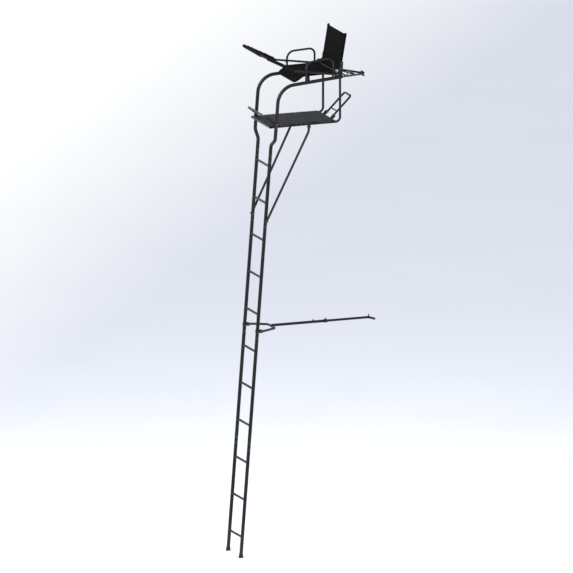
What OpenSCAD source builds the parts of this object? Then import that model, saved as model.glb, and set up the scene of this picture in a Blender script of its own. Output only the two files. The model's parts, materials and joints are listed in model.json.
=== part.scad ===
// Ladder tree stand: a leaning sectional ladder that carries a platform, a folding seat with a
// backrest and armrests, a flip-up shooting rail, a folding footrest and braces to the trunk.
// Working frame: X across the ladder, Y towards the trunk, Z up, with zero at the front uprights
// on the platform frame's centre height. place() then moves it to the centre of the ground area.

/* [Ladder] */
// Height of the platform frame above the ground
platform_h = 4723; // [4600:1:4800]
// Lean of the ladder towards the trunk, degrees
lean = 4.4; // [3.5:0.1:5.5]
// Half the distance between the two ladder rails
rail_half = 191.5; // [180:0.5:200]
// Outside diameter of the ladder rails
rail_d = 38; // [36:0.5:40]
// Wall of the ladder rails
rail_wall = 1.2; // [1:0.1:2]
// Distance from one step to the next
rung_pitch = 406.4; // [395:0.1:415]
// Height of the first step along the rail
first_rung = 224; // [210:1:240]
// Outside diameter of the steps
rung_d = 25; // [22:0.5:28]
// Number of steps on each lower section
rungs_per_section = 3; // [3:1:3]
// Place of the highest section joint along the rail
top_joint = 4370; // [4340:1:4390]
// Diameter of the rubber foot's flange
foot_flange_d = 52; // [50:1:56]

/* [Platform] */
// Half width between the front uprights
upright_half = 300; // [295:1:305]
// Distance of the platform's front bar before the uprights
front_bar_out = 55; // [50:1:60]
// Distance of the rear posts behind the uprights
post_y = 752; // [740:1:760]
// Half width between the platform side tubes at the front
side_half_front = 268; // [266:0.5:268]
// Half width between the platform side tubes at the rear
side_half_rear = 255; // [250:0.5:258]
// Diameter of the platform and brace tubes
frame_d = 25.4; // [25:0.1:26]
// Wall of the lighter tubes
thin_wall = 1.2; // [1:0.1:1.5]
// Distance of the platform's rear bar behind the uprights
rear_bar_y = 700; // [695:1:705]
// Thickness of the expanded floor
floor_t = 2; // [1.5:0.1:3]
// Length of one opening of the expanded floor
floor_cell_x = 62; // [55:1:70]
// Width of one opening of the expanded floor
floor_cell_y = 30; // [26:1:34]

/* [Upper frame] */
// Height at which the upright and the seat rail would cross
corner_z = 439; // [430:1:445]
// Bend radius where the upright turns into the seat rail
corner_r = 200; // [190:1:205]
// Distance of the seat rail's rear end behind the uprights
rail_end_y = 775; // [772:1:778]
// Height of the seat rail's rear end above the platform
rail_end_z = 489; // [486:1:492]
// Distance of the tree bracket's tip behind the uprights
bracket_tip_y = 1104; // [1090:1:1115]
// Height of the tree bracket's tip above the platform
bracket_tip_z = 447; // [440:1:455]
// Diameter of the tree bracket, armrest, seat and shooting rail tubes
light_d = 22; // [22:0.1:22.4]

/* [Seat] */
// Distance of the seat pivot behind the uprights
seat_pivot_y = 709; // [708:0.5:710]
// Height of the seat pivot above the platform
seat_pivot_z = 563; // [562:0.5:564]
// Half width between the seat's side tubes
seat_half = 247; // [246:0.5:247]
// Distance of the seat's front tube behind the uprights
seat_front_y = 236; // [230:1:242]
// Thickness of the mesh fabric
mesh_t = 3; // [2:0.5:4]
// Backward lean of the backrest, degrees
back_lean = 9.6; // [8:0.1:11]
// Height of the backrest's posts above the platform
back_top_z = 962; // [940:1:980]

/* [Shooting rail] */
// Half width between the shooting rail's arms
arm_half = 311; // [311:0.5:313]
// Height of the shooting rail's cross bar above the platform
gun_bar_z = 795; // [780:1:810]
// Distance of the cross bar before the uprights
gun_bar_out = 155; // [145:1:165]
// Outside diameter of the foam padding
pad_d = 38; // [34:1:42]

/* [Stabilizer] */
// Place of the stabilizer's clamps along the ladder rail
stab_along = 2482; // [2475:1:2495]
// Reach of the stabilizer's claw behind the uprights
claw_reach = 1220; // [1210:1:1230]
// Diameter of the stabilizer's outer tube
stab_outer_d = 30; // [30:0.5:31]
// Diameter of the stabilizer's sliding tube
stab_inner_d = 26; // [25:0.5:26]

/* [Hidden] */
$fn = 48;

// Steel is drawn near black, fasteners a little lighter
steel = [0.10, 0.10, 0.11];
fastener = [0.35, 0.35, 0.37];
soft = [0.06, 0.06, 0.07];
rubber = [0.04, 0.04, 0.04];

rail_r = rail_d / 2;
frame_r = frame_d / 2;
light_r = light_d / 2;
lap = 0.5;        // how far a straight stretch runs into the bend beside it
bend_step = 0.03; // how much thinner a bend is than the straights that lap it
bolt_r = 4;       // clamp bolts
pin_r = 5;        // pivot bolts
pin_play = 0.05;  // radial play of a pivot
plate_t = 5;      // thickness of the plates and tabs
clamp_t = 4;      // thickness of the stabilizer's clamps round the rails
eye_lip = 1;      // how far a pivot eye stands proud of its tube
pivot_gap = 0.5;  // side gap between a pivot's moving eye and its neighbour

foot_y = -platform_h * tan(lean);
y_min = foot_y - foot_flange_d / 2 / cos(lean);
mid_y = (y_min + claw_reach) / 2;
section_l = rungs_per_section * rung_pitch;
joints_along = [section_l, 2 * section_l, 3 * section_l, top_joint];
joint_bolt_off = 32;   // bolts above and below each section joint
sleeve_l = 130;
rail_start = 8;        // the rail's cut end above the ground, inside the foot

// A point on the ladder's plane: along the rails, and back from their centres
function ladder_at(x, along, back = 0) = [
    x,
    foot_y + along * sin(lean) + back * cos(lean),
    along * cos(lean) - back * sin(lean) - platform_h
];
function unit(v) = v / norm(v);
function mirrored(p) = [-p[0], p[1], p[2]];
function turn(path, i) = acos(unit(path[i] - path[i - 1]) * unit(path[i + 1] - path[i]));
function radius_at(radii, i) = is_list(radii) ? radii[i - 1] : radii;
function setback(path, i, radii) = radius_at(radii, i) * tan(turn(path, i) / 2);

module place() {
    translate([0, -mid_y, platform_h]) children();
}

module on_ladder() {
    translate(ladder_at(0, 0)) rotate([-lean, 0, 0]) children();
}

module both_sides() {
    children();
    mirror([1, 0, 0]) children();
}

// A round bar between two points
module rod(a, b, r) {
    v = b - a;
    translate(a)
        rotate([0, acos(v[2] / norm(v)), atan2(v[1], v[0])])
            cylinder(r = r, h = norm(v));
}

// A round bar along X
module rod_x(x0, x1, y, z, r) {
    translate([x0, y, z]) rotate([0, 90, 0]) cylinder(r = r, h = x1 - x0);
}

module bend(path, i, radii, r) {
    u_in = unit(path[i] - path[i - 1]);
    u_out = unit(path[i + 1] - path[i]);
    radius = radius_at(radii, i);
    centre = path[i] + unit(u_out - u_in) * radius / cos(turn(path, i) / 2);
    start = path[i] - u_in * setback(path, i, radii);
    ax = unit(start - centre);
    az = unit(cross(u_in, u_out));
    multmatrix([
        [ax[0], u_in[0], az[0], centre[0]],
        [ax[1], u_in[1], az[1], centre[1]],
        [ax[2], u_in[2], az[2], centre[2]],
        [0, 0, 0, 1]
    ])
        rotate_extrude(angle = turn(path, i)) translate([radius, 0]) circle(r);
}

// A round bar along a path with rounded corners; trim shortens its first and last stretch
module bent_rod(path, radii, r, trim = [0, 0]) {
    last = len(path) - 1;
    for (i = [0 : last - 1]) {
        u = unit(path[i + 1] - path[i]);
        from = i == 0 ? trim[0] : setback(path, i, radii) - lap;
        upto = i == last - 1 ? trim[1] : setback(path, i + 1, radii) - lap;
        rod(path[i] + u * from, path[i + 1] - u * upto, r);
    }
    if (last > 1)
        for (i = [1 : last - 1])
            bend(path, i, radii, r - bend_step);
}

// A tube along a path; plug is the solid length left at each end, and -1 leaves it open
module bent_tube(path, radii, d, wall, plug = [-1, -1]) {
    difference() {
        bent_rod(path, radii, d / 2);
        bent_rod(path, radii, d / 2 - wall, plug);
    }
}

// A bolt along X from its nut side to its head side, with a separate nut
module bolt_x(x0, x1, y, z, r) {
    head_h = r * 1.2;
    rod_x(x0 - head_h - 2, x1 + head_h / 2, y, z, r);
    translate([x1, y, z]) rotate([0, 90, 0]) cylinder(r = r * 1.9, h = head_h, $fn = 6);
    difference() {
        translate([x0 - head_h, y, z]) rotate([0, 90, 0])
            cylinder(r = r * 1.9, h = head_h, $fn = 6);
        rod_x(x0 - head_h - 1, x0 + 1, y, z, r + pin_play);
    }
}

// ---- Ladder ----

module foot_caps() {
    cap_h = 42;
    flange_h = 9;
    color(rubber) both_sides() difference() {
        on_ladder() translate([rail_half, 0, 0]) difference() {
            union() {
                translate([0, 0, -4]) cylinder(d = foot_flange_d, h = flange_h + 4);
                cylinder(d = rail_d + 9, h = cap_h);
            }
            translate([0, 0, rail_start]) cylinder(r = rail_r, h = cap_h);
        }
        translate([0, foot_y - foot_flange_d, -platform_h - 20])
            cube([rail_half * 2, foot_flange_d * 2, 20]);
    }
}

// Both rails of one ladder section, drilled for the bolts at its joints
module section_rails(from, upto) {
    color(steel) both_sides() on_ladder() translate([rail_half, 0, 0]) difference() {
        translate([0, 0, from]) cylinder(r = rail_r, h = upto - from);
        translate([0, 0, from - 1]) cylinder(r = rail_r - rail_wall, h = upto - from + 2);
        for (j = joints_along, s = [-1, 1])
            if (j + s * joint_bolt_off > from && j + s * joint_bolt_off < upto)
                rod_x(-rail_d, rail_d, 0, j + s * joint_bolt_off, bolt_r);
    }
}

module section_rungs(first, count) {
    color(steel) on_ladder() for (i = [first : first + count - 1])
        difference() {
            rod_x(-rail_half, rail_half, 0, first_rung + i * rung_pitch, rung_d / 2);
            rod_x(-rail_half, rail_half, 0, first_rung + i * rung_pitch,
                  rung_d / 2 - thin_wall);
            for (s = [-1, 1])
                translate([s * rail_half, 0, first_rung + i * rung_pitch - rung_d])
                    cylinder(r = rail_r, h = rung_d * 2);
        }
}

module section_1_rails() section_rails(rail_start, joints_along[0]);
module section_2_rails() section_rails(joints_along[0], joints_along[1]);
module section_3_rails() section_rails(joints_along[1], joints_along[2]);
module section_4_rails() section_rails(joints_along[2], joints_along[3]);
module section_1_rungs() section_rungs(0, rungs_per_section);
module section_2_rungs() section_rungs(rungs_per_section, rungs_per_section);
module section_3_rungs() section_rungs(2 * rungs_per_section, rungs_per_section);
module section_4_rungs() section_rungs(3 * rungs_per_section, 2);

module joint_sleeves() {
    sleeve_r = rail_r - rail_wall - 0.1;
    color(fastener) both_sides() on_ladder() for (j = joints_along)
        translate([rail_half, 0, j]) difference() {
            cylinder(r = sleeve_r, h = sleeve_l, center = true);
            cylinder(r = sleeve_r - 1.5, h = sleeve_l + 2, center = true);
            for (s = [-1, 1])
                rod_x(-rail_d, rail_d, 0, s * joint_bolt_off, bolt_r);
        }
}

// The upper bolt of the second joint also holds the stabilizer's clamp. The upper bolt of the
// third also holds the platform brace, so it is left out here.
module joint_fasteners() {
    color(fastener) both_sides() on_ladder() for (j = [0 : 3], s = [-1, 1])
        if (!(j == 2 && s == 1)) {
            reach = j == 1 && s == 1 ? rail_r + clamp_t : rail_r;
            translate([rail_half, 0, joints_along[j] + s * joint_bolt_off])
                bolt_x(-reach, reach, 0, 0, bolt_r - pin_play);
        }
}

// ---- Upper frame ----

flare_low_z = -215;
flare_high_z = -140;
flare_r = 55;
function lean_y(z) = z * tan(lean);
rail_corner = [upright_half, lean_y(corner_z), corner_z];
rail_end = [side_half_rear - 1.5, rail_end_y, rail_end_z];
function on_seat_rail(y) =
    rail_corner + (rail_end - rail_corner) * (y - rail_corner[1]) / (rail_end[1] - rail_corner[1]);
upright_path = [
    ladder_at(rail_half, top_joint),
    [rail_half, lean_y(flare_low_z), flare_low_z],
    [upright_half, lean_y(flare_high_z), flare_high_z],
    rail_corner,
    rail_end
];
footrest_pivot_z = 32;

// The seat rail as a full bar, for shaping what sits on it
module seat_rail_bar() {
    rod(on_seat_rail(260), rail_end, rail_r);
}

// One bent tube: ladder joint, flare, upright, corner and seat rail
module upright() {
    color(steel) difference() {
        bent_tube(upright_path, [flare_r, flare_r, corner_r], rail_d, rail_wall);
        rod_x(upright_half - rail_d, upright_half + rail_d, 0, 0, bolt_r);
        rod_x(upright_half - rail_d, upright_half + rail_d, 0, footrest_pivot_z, pin_r);
        translate(ladder_at(rail_half, top_joint)) rotate([-lean, 0, 0])
            rod_x(-rail_d, rail_d, 0, joint_bolt_off, bolt_r);
    }
}

module upright_right() upright();
module upright_left() mirror([1, 0, 0]) upright();

end_cap_t = 4;
module rail_end_caps() {
    u = unit(rail_end - rail_corner);
    color(rubber) both_sides() {
        rod(rail_end, rail_end + u * end_cap_t, rail_r);
        rod(rail_end - u * 14, rail_end, rail_r - rail_wall);
    }
}

bracket_tip_half = 28;
tip_plate_t = 5;
arm_start = rail_end + unit(rail_end - rail_corner) * (end_cap_t - 12);
arm_tip = [bracket_tip_half, bracket_tip_y, bracket_tip_z];
function on_bracket_arm(y) =
    arm_start + (arm_tip - arm_start) * (y - arm_start[1]) / (arm_tip[1] - arm_start[1]);

module tree_bracket_arm() {
    u = unit(rail_end - rail_corner);
    color(steel) difference() {
        bent_tube([arm_start, on_bracket_arm(bracket_tip_y + 12)], 1, light_d, thin_wall);
        rod(rail_end - u * 60, rail_end + u * end_cap_t, rail_r + 5);
        translate([-rail_half, bracket_tip_y, bracket_tip_z - rail_half])
            cube(rail_half * 2);
        translate([-rail_half, 0, 0]) cube([rail_half, bracket_tip_y + 50, 600]);
    }
}

module tree_bracket_right_arm() tree_bracket_arm();
module tree_bracket_left_arm() mirror([1, 0, 0]) tree_bracket_arm();

bracket_bar_y = [850, 985];
bracket_bar_r = 8;
module tree_bracket_cross_bars() {
    near = on_bracket_arm(bracket_bar_y[0]);
    far = on_bracket_arm(bracket_bar_y[1]);
    color(steel) difference() {
        union() {
            rod(mirrored(near), near, bracket_bar_r);
            rod(mirrored(far), far, bracket_bar_r);
            rod(mirrored(near), far, bracket_bar_r * 0.8);
            rod(near, mirrored(far), bracket_bar_r * 0.8);
        }
        both_sides() rod(on_bracket_arm(800), on_bracket_arm(1080), light_r);
    }
}

// Toothed plate that bites into the bark
module tree_bracket_tip_plate() {
    half_w = 42;
    half_h = 26;
    tooth = 9;
    color(steel) translate([0, bracket_tip_y, bracket_tip_z]) {
        translate([-half_w, 0, -half_h]) cube([half_w * 2, tip_plate_t, half_h * 2]);
        for (s = [-1, 1], z = [-half_h, 0])
            translate([s * (half_w - 3) - 3, tip_plate_t, z])
                rotate([90, 0, 90]) linear_extrude(6)
                    polygon([[-1, 1], [-1, half_h - 1], [tooth, half_h / 2]]);
    }
}

// ---- Platform ----

front_end = [side_half_front, -front_bar_out, 0];
side_rear = [side_half_rear, post_y, 0];
function side_x(y) =
    side_half_front + (side_half_rear - side_half_front) * (y + front_bar_out)
    / (post_y + front_bar_out);
floor_end_y = 686;

module front_bar_rod() {
    rod_x(-side_half_front - frame_r, side_half_front + frame_r, -front_bar_out, 0, frame_r);
}

module side_tube_rod() {
    rod(front_end, [side_x(690), 690, 0], frame_r);
}

// One bent tube: the platform's side and the rear post above it
module platform_tube() {
    post_bend_r = 50;
    color(steel) difference() {
        bent_tube([front_end, side_rear, [side_half_rear, post_y, rail_end_z]],
                  post_bend_r, frame_d, thin_wall);
        front_bar_rod();
        seat_rail_bar();
        rod_x(side_half_front - frame_d, upright_half, 0, 0, bolt_r);
    }
}

module platform_right_tube() platform_tube();
module platform_left_tube() mirror([1, 0, 0]) platform_tube();

module platform_front_bar() {
    color(steel) difference() {
        front_bar_rod();
        rod_x(-side_half_front - frame_d, side_half_front + frame_d, -front_bar_out, 0,
              frame_r - thin_wall);
    }
}

cross_bar_y = [230, 465, rear_bar_y];
module platform_cross_bars() {
    color(steel) difference() {
        for (y = cross_bar_y)
            difference() {
                rod_x(-side_x(y), side_x(y), y, 0, light_r);
                rod_x(-side_half_front, side_half_front, y, 0, light_r - thin_wall);
            }
        both_sides() rod(front_end, [side_x(715), 715, 0], frame_r);
    }
}

// Expanded sheet: a plate with staggered diamond openings
module platform_floor() {
    strand = 5;
    rows = floor((floor_end_y + front_bar_out - 12) / floor_cell_y) * 2 - 1;
    cols = floor(side_half_rear / floor_cell_x);
    color(steel) translate([0, 0, frame_r]) linear_extrude(floor_t) difference() {
        polygon([
            [-side_half_front + 4, -front_bar_out], [side_half_front - 4, -front_bar_out],
            [side_x(floor_end_y) - 4, floor_end_y], [-side_x(floor_end_y) + 4, floor_end_y]
        ]);
        for (row = [0 : rows - 1], col = [-cols : cols]) {
            stagger = row % 2 == 0 ? 0 : floor_cell_x / 2;
            x = col * floor_cell_x + stagger;
            if (abs(x) < side_half_rear - floor_cell_x / 2 - 6)
                translate([x, -front_bar_out + 22 + row * floor_cell_y / 2])
                    polygon([
                        [-floor_cell_x / 2 + strand, 0], [0, -floor_cell_y / 2 + strand / 2],
                        [floor_cell_x / 2 - strand, 0], [0, floor_cell_y / 2 - strand / 2]
                    ]);
        }
    }
}

module platform_fasteners() {
    color(fastener) both_sides()
        bolt_x(side_x(0) - frame_r, upright_half + rail_r, 0, 0, bolt_r - pin_play);
}

// ---- Platform braces ----

brace_top_y = 396;
brace_top_z = -34;
brace_knee_z = -84;
tab_x = side_x(brace_top_y);
brace_eye_half = frame_r + eye_lip;
brace_top_x = tab_x - plate_t / 2 - brace_eye_half;
brace_low = ladder_at(rail_half + rail_r + brace_eye_half, joints_along[2] + joint_bolt_off);

module platform_braces() {
    plug = frame_r + 6;
    top = [brace_top_x, brace_top_y, brace_top_z];
    color(steel) both_sides() difference() {
        union() {
            bent_tube([top, [brace_top_x, brace_top_y, brace_knee_z], brace_low],
                      60, frame_d, thin_wall, [plug, plug]);
            for (p = [top, brace_low])
                rod_x(p[0] - brace_eye_half, p[0] + brace_eye_half, p[1], p[2],
                      frame_r + eye_lip);
        }
        for (p = [top, brace_low])
            rod_x(p[0] - frame_d, p[0] + frame_d, p[1], p[2], bolt_r);
    }
}

module brace_tabs() {
    color(steel) both_sides() difference() {
        translate([tab_x - plate_t / 2, brace_top_y - 16, brace_top_z - 16])
            cube([plate_t, 32, 16 - brace_top_z]);
        side_tube_rod();
        rod_x(tab_x - frame_d, tab_x + frame_d, brace_top_y, brace_top_z, bolt_r);
    }
}

module brace_fasteners() {
    color(fastener) both_sides() {
        bolt_x(brace_top_x - brace_eye_half, tab_x + plate_t / 2, brace_top_y, brace_top_z,
               bolt_r - pin_play);
        bolt_x(rail_half - rail_r, brace_low[0] + brace_eye_half, brace_low[1], brace_low[2],
               bolt_r - pin_play);
    }
}

// ---- Stabilizer ----

stab_back = 39;    // pivot behind the rail's centre
yoke_d = 25;
yoke_end_y = 62;
yoke_end_half = 105;
yoke_straight = 36;    // from the pivot to where the yoke's arms turn inwards
stab_rise = 10;    // the bar's axis above the yoke's
eye_half = 12;
stab_pivot = ladder_at(rail_half, stab_along, stab_back);
stab_z = stab_pivot[2] + stab_rise;
stab_outer_end = 698;
stab_inner_wall = 1.5;
claw_half_w = 95;
claw_depth = 36;
claw_tooth_l = 8.3;
claw_tooth_turn = 20;
claw_teeth_at = [0.62, 0.98];  // places of the teeth along each arm of the claw
claw_apex_y = claw_reach - claw_depth * claw_teeth_at[1] - claw_tooth_l * cos(claw_tooth_turn);
screw_y = [541, 683];

module yoke_pivot_hole() {
    rod_x(rail_half - 60, rail_half + 60, stab_pivot[1], stab_pivot[2], pin_r + pin_play);
}

// A split band round each rail with an ear beside the yoke's eye
module stabilizer_clamps() {
    band_h = 34;
    ear_x = eye_half + 1;
    color(steel) both_sides() difference() {
        on_ladder() translate([rail_half, 0, stab_along]) difference() {
            union() {
                cylinder(r = rail_r + clamp_t, h = band_h, center = true);
                for (s = [-1, 1])
                    translate([s > 0 ? ear_x : -ear_x - plate_t, 8, -band_h / 2])
                        cube([plate_t, stab_back + 8, band_h]);
            }
            cylinder(r = rail_r, h = band_h + 2, center = true);
            rod_x(-rail_d, rail_d, 0, joints_along[1] + joint_bolt_off - stab_along, bolt_r);
        }
        yoke_pivot_hole();
    }
}

module stabilizer_yoke() {
    knee = stab_pivot + [0, yoke_straight, 0];
    far = [yoke_end_half, yoke_end_y, stab_pivot[2]];
    plug = yoke_d / 2 + 8;
    color(steel) difference() {
        union() {
            bent_tube([stab_pivot, knee, far, mirrored(far), mirrored(knee),
                       mirrored(stab_pivot)], [30, 35, 35, 30], yoke_d,
                      thin_wall, [plug, plug]);
            both_sides() rod_x(rail_half - eye_half, rail_half + eye_half,
                               stab_pivot[1], stab_pivot[2], yoke_d / 2 + eye_lip);
        }
        both_sides() yoke_pivot_hole();
    }
}

module stabilizer_pivot_bolts() {
    ear_out = eye_half + 1 + plate_t;
    color(fastener) both_sides()
        bolt_x(rail_half - ear_out, rail_half + ear_out, stab_pivot[1], stab_pivot[2], pin_r);
}

module stabilizer_outer_tube() {
    bore_r = stab_outer_d / 2 - 1.5;
    start = [0, yoke_end_y, stab_z];
    color(steel) difference() {
        union() {
            rod(start, [0, stab_outer_end, stab_z], stab_outer_d / 2);
            rod([0, stab_outer_end - 34, stab_z], [0, stab_outer_end, stab_z],
                stab_outer_d / 2 + 4);
        }
        rod(start - [0, 1, 0], [0, stab_outer_end + 1, stab_z], bore_r);
        rod_x(-yoke_end_half, yoke_end_half, yoke_end_y, stab_pivot[2], yoke_d / 2);
        for (y = screw_y)
            translate([0, y, stab_z]) cylinder(r = bolt_r, h = 40);
    }
}

module stabilizer_lock_screws() {
    screw_r = bolt_r - pin_play;
    color(fastener) for (y = screw_y)
        translate([0, y, stab_z]) {
            translate([0, 0, stab_inner_d / 2 + 0.3]) cylinder(r = screw_r, h = 12);
            translate([0, 0, stab_outer_d / 2 + 4.3])
                cylinder(r = 8, h = 9, $fn = 6);
        }
}

slide_in_y = 500;
module stabilizer_inner_tube() {
    color(steel) bent_tube([[0, slide_in_y, stab_z], [0, claw_apex_y - 6, stab_z]], 1,
                           stab_inner_d, stab_inner_wall);
}

// V-shaped claw with teeth, on a plug in the end of the sliding tube
module stabilizer_claw() {
    plug_l = 60;
    collar_l = 6;
    strip_h = 24;
    strip_t = 4;
    tooth_half = 3;
    color(steel) translate([0, claw_apex_y, stab_z]) {
        rod([0, -plug_l, 0], [0, -collar_l, 0], stab_inner_d / 2 - stab_inner_wall);
        rod([0, -collar_l, 0], [0, 0, 0], stab_inner_d / 2 + 3);
        translate([0, 0, -strip_h / 2]) linear_extrude(strip_h) both_sides_flat() {
            polygon([
                [0, 0.5], [claw_half_w, claw_depth],
                [claw_half_w + strip_t * 0.4, claw_depth - strip_t], [0, -strip_t]
            ]);
            for (k = claw_teeth_at)
                translate([claw_half_w * k, claw_depth * k]) rotate(claw_tooth_turn)
                    polygon([[-tooth_half, -2], [tooth_half, -2], [0, claw_tooth_l]]);
        }
    }
}

module both_sides_flat() {
    children();
    mirror([1, 0]) children();
}

// ---- Footrest ----

light_eye_half = light_r + eye_lip;
footrest_half = 268;
footrest_bar = [footrest_half, -110, 120];
footrest_pivot = [footrest_half, 0, footrest_pivot_z];

module footrest_frame() {
    plug = light_r + 5;
    color(steel) difference() {
        union() {
            bent_tube([footrest_pivot, footrest_bar, mirrored(footrest_bar),
                       mirrored(footrest_pivot)], 40, light_d, thin_wall, [plug, plug]);
            both_sides() rod_x(footrest_half - light_eye_half, footrest_half + light_eye_half,
                               0, footrest_pivot_z, light_r + eye_lip);
        }
        both_sides() rod_x(footrest_half - light_d, footrest_half + light_d,
                           0, footrest_pivot_z, pin_r + pin_play);
    }
}

module footrest_bolts() {
    color(fastener) both_sides()
        bolt_x(footrest_half - light_eye_half - pivot_gap, upright_half + rail_r,
               0, footrest_pivot_z, pin_r);
}

// Short posts on the side tubes that the footrest's arms come down on
module footrest_stops() {
    stop_y = -32;
    color(rubber) both_sides() difference() {
        rod([side_x(stop_y), stop_y, 0], [side_x(stop_y), stop_y, 36], 6);
        side_tube_rod();
        translate([0, -front_bar_out, frame_r]) cube([upright_half, 200, floor_t]);
    }
}

// ---- Lower tree brace ----

lower_half = 95;
lower_pivot = [lower_half, 740, 36];
lower_bar = [lower_half, 938, 232];

module lower_brace_frame() {
    path = [lower_pivot, lower_bar, mirrored(lower_bar), mirrored(lower_pivot)];
    mid_bar = lower_pivot + (lower_bar - lower_pivot) * 0.2;
    plug = light_r + 5;
    color(steel) difference() {
        union() {
            bent_rod(path, 28, light_r);
            rod(mirrored(mid_bar), mid_bar, light_r * 0.7);
            both_sides() rod_x(lower_half - light_eye_half, lower_half + light_eye_half,
                               lower_pivot[1], lower_pivot[2], light_r + eye_lip);
        }
        bent_rod(path, 28, light_r - thin_wall, [plug, plug]);
        both_sides() rod_x(lower_half - light_d, lower_half + light_d,
                           lower_pivot[1], lower_pivot[2], pin_r + pin_play);
    }
}

module lower_brace_tabs() {
    tab_in = lower_half + light_eye_half + pivot_gap;
    color(steel) both_sides() difference() {
        translate([tab_in, 0, 0]) rotate([90, 0, 90]) linear_extrude(plate_t)
            polygon([[690, 0], [714, -10], [754, 22], [754, 50], [726, 50], [690, 14]]);
        rod_x(0, lower_half * 2, rear_bar_y, 0, light_r);
        rod_x(0, lower_half * 2, lower_pivot[1], lower_pivot[2], pin_r);
    }
}

module lower_brace_bolts() {
    color(fastener) both_sides()
        bolt_x(lower_half - light_eye_half - pivot_gap,
               lower_half + light_eye_half + pivot_gap + plate_t,
               lower_pivot[1], lower_pivot[2], pin_r);
}

// ---- Seat ----

plate_in = 265;    // inner face of the hinge plates
gun_pivot_y = 700;
gun_pivot_z = 530;
post_x = plate_in - light_r;
seat_z = 541;
crease = [seat_half, 330, seat_z - 6];
seat_rear = [seat_half, 724, seat_z];
seat_front = [seat_half, seat_front_y, 474];
seat_bar_y = 712;
back_bolt_z = [580, 640];
seat_rear_on = seat_rear + unit(seat_rear - crease) * 30;
function post_at(z) = [post_x, 752 + (z - 575) * tan(back_lean), z];

module hinge_plates() {
    color(steel) both_sides() difference() {
        translate([plate_in, 0, 0]) rotate([90, 0, 90]) linear_extrude(plate_t)
            polygon([[684, 480], [772, 480], [784, 656], [752, 656], [744, 590],
                     [724, 584], [694, 584], [684, 572]]);
        seat_rail_bar();
        rod_x(0, upright_half, seat_pivot_y, seat_pivot_z, pin_r);
        rod_x(0, upright_half, gun_pivot_y, gun_pivot_z, pin_r);
        for (z = back_bolt_z) rod_x(0, upright_half, post_at(z)[1], z, 3);
    }
}

module seat_frame() {
    path = [seat_rear, crease, seat_front,
            mirrored(seat_front), mirrored(crease), mirrored(seat_rear)];
    color(steel) bent_tube(path, [70, 40, 40, 70], light_d, thin_wall);
}

module seat_rear_bar() {
    color(steel) difference() {
        rod_x(-seat_half, seat_half, seat_bar_y, seat_z, light_r - 1);
        rod_x(-seat_half, seat_half, seat_bar_y, seat_z, light_r - 1 - thin_wall);
        both_sides() rod(seat_rear_on, crease, light_r);
    }
}

module seat_hinge_lugs() {
    lug_out = 261.5;
    lug_r = 14;
    color(steel) both_sides() difference() {
        translate([seat_half + 4, 0, 0]) rotate([90, 0, 90])
            linear_extrude(lug_out - seat_half - 4) union() {
                translate([seat_pivot_y, seat_pivot_z]) circle(lug_r);
                translate([seat_pivot_y - 12, seat_z]) square([24, seat_pivot_z - seat_z]);
            }
        rod(seat_rear_on, crease, light_r);
        rod_x(0, upright_half, seat_pivot_y, seat_pivot_z, pin_r + pin_play);
    }
}

// Pivot bolts with a broad round head outside
module seat_pivot_bolts() {
    nut_x = seat_half + 3.4;
    color(fastener) both_sides() {
        rod_x(nut_x - 8, plate_in + plate_t + 8, seat_pivot_y, seat_pivot_z, pin_r);
        rod_x(plate_in - 3, plate_in, seat_pivot_y, seat_pivot_z, 8);
        rod_x(plate_in + plate_t, plate_in + plate_t + 7, seat_pivot_y, seat_pivot_z, 15);
        difference() {
            translate([nut_x - 6, seat_pivot_y, seat_pivot_z]) rotate([0, 90, 0])
                cylinder(r = 9, h = 6, $fn = 6);
            rod_x(nut_x - 7, nut_x + 1, seat_pivot_y, seat_pivot_z, pin_r + pin_play);
        }
    }
}

// Brackets on the seat rails that carry the seat's side tubes when it is down
module seat_rests() {
    rest_y = 385;
    top_z = seat_z - 5.2 - light_r - 0.4;
    color(steel) both_sides() difference() {
        union() {
            translate([seat_half - light_r, rest_y - 15, top_z - plate_t])
                cube([30, 30, plate_t]);
            translate([seat_half - light_r + 25, rest_y - 15, 465])
                cube([plate_t, 30, top_z - 465]);
        }
        seat_rail_bar();
    }
}

// Points of the seat's side profile, raised by h above the tubes' centre line
function seat_profile(h) = [
    [690, seat_z + h],
    [crease[1] + 4, crease[2] + h],
    [crease[1] - 14, crease[2] + h - 4],
    [seat_front_y - h * 0.55, seat_front[2] + h * 0.84]
];
module seat_mesh() {
    half_w = seat_half + light_r;
    low = seat_profile(light_r + 0.3);
    high = seat_profile(light_r + 0.3 + mesh_t);
    color(soft) translate([-half_w, 0, 0]) rotate([90, 0, 90]) linear_extrude(half_w * 2)
        polygon([low[0], low[1], low[2], low[3], high[3], high[2], high[1], high[0]]);
}

// ---- Backrest ----

module backrest_posts() {
    color(steel) both_sides() difference() {
        bent_tube([post_at(490), post_at(back_top_z)], 1, light_d, thin_wall);
        seat_rail_bar();
        for (z = back_bolt_z) rod_x(post_x - light_d, post_x + light_d, post_at(z)[1], z, 3);
    }
}

module backrest_bars() {
    color(steel) difference() {
        for (z = [600, back_top_z - 30]) difference() {
            rod_x(-post_x, post_x, post_at(z)[1], z, 8);
            rod_x(-post_x, post_x, post_at(z)[1], z, 8 - thin_wall);
        }
        both_sides() rod(post_at(500), post_at(back_top_z), light_r);
    }
}

module backrest_post_caps() {
    u = unit(post_at(back_top_z) - post_at(500));
    color(rubber) both_sides() {
        rod(post_at(back_top_z), post_at(back_top_z) + u * 5, light_r + 1);
        rod(post_at(back_top_z) - u * 12, post_at(back_top_z), light_r - thin_wall);
    }
}

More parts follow.
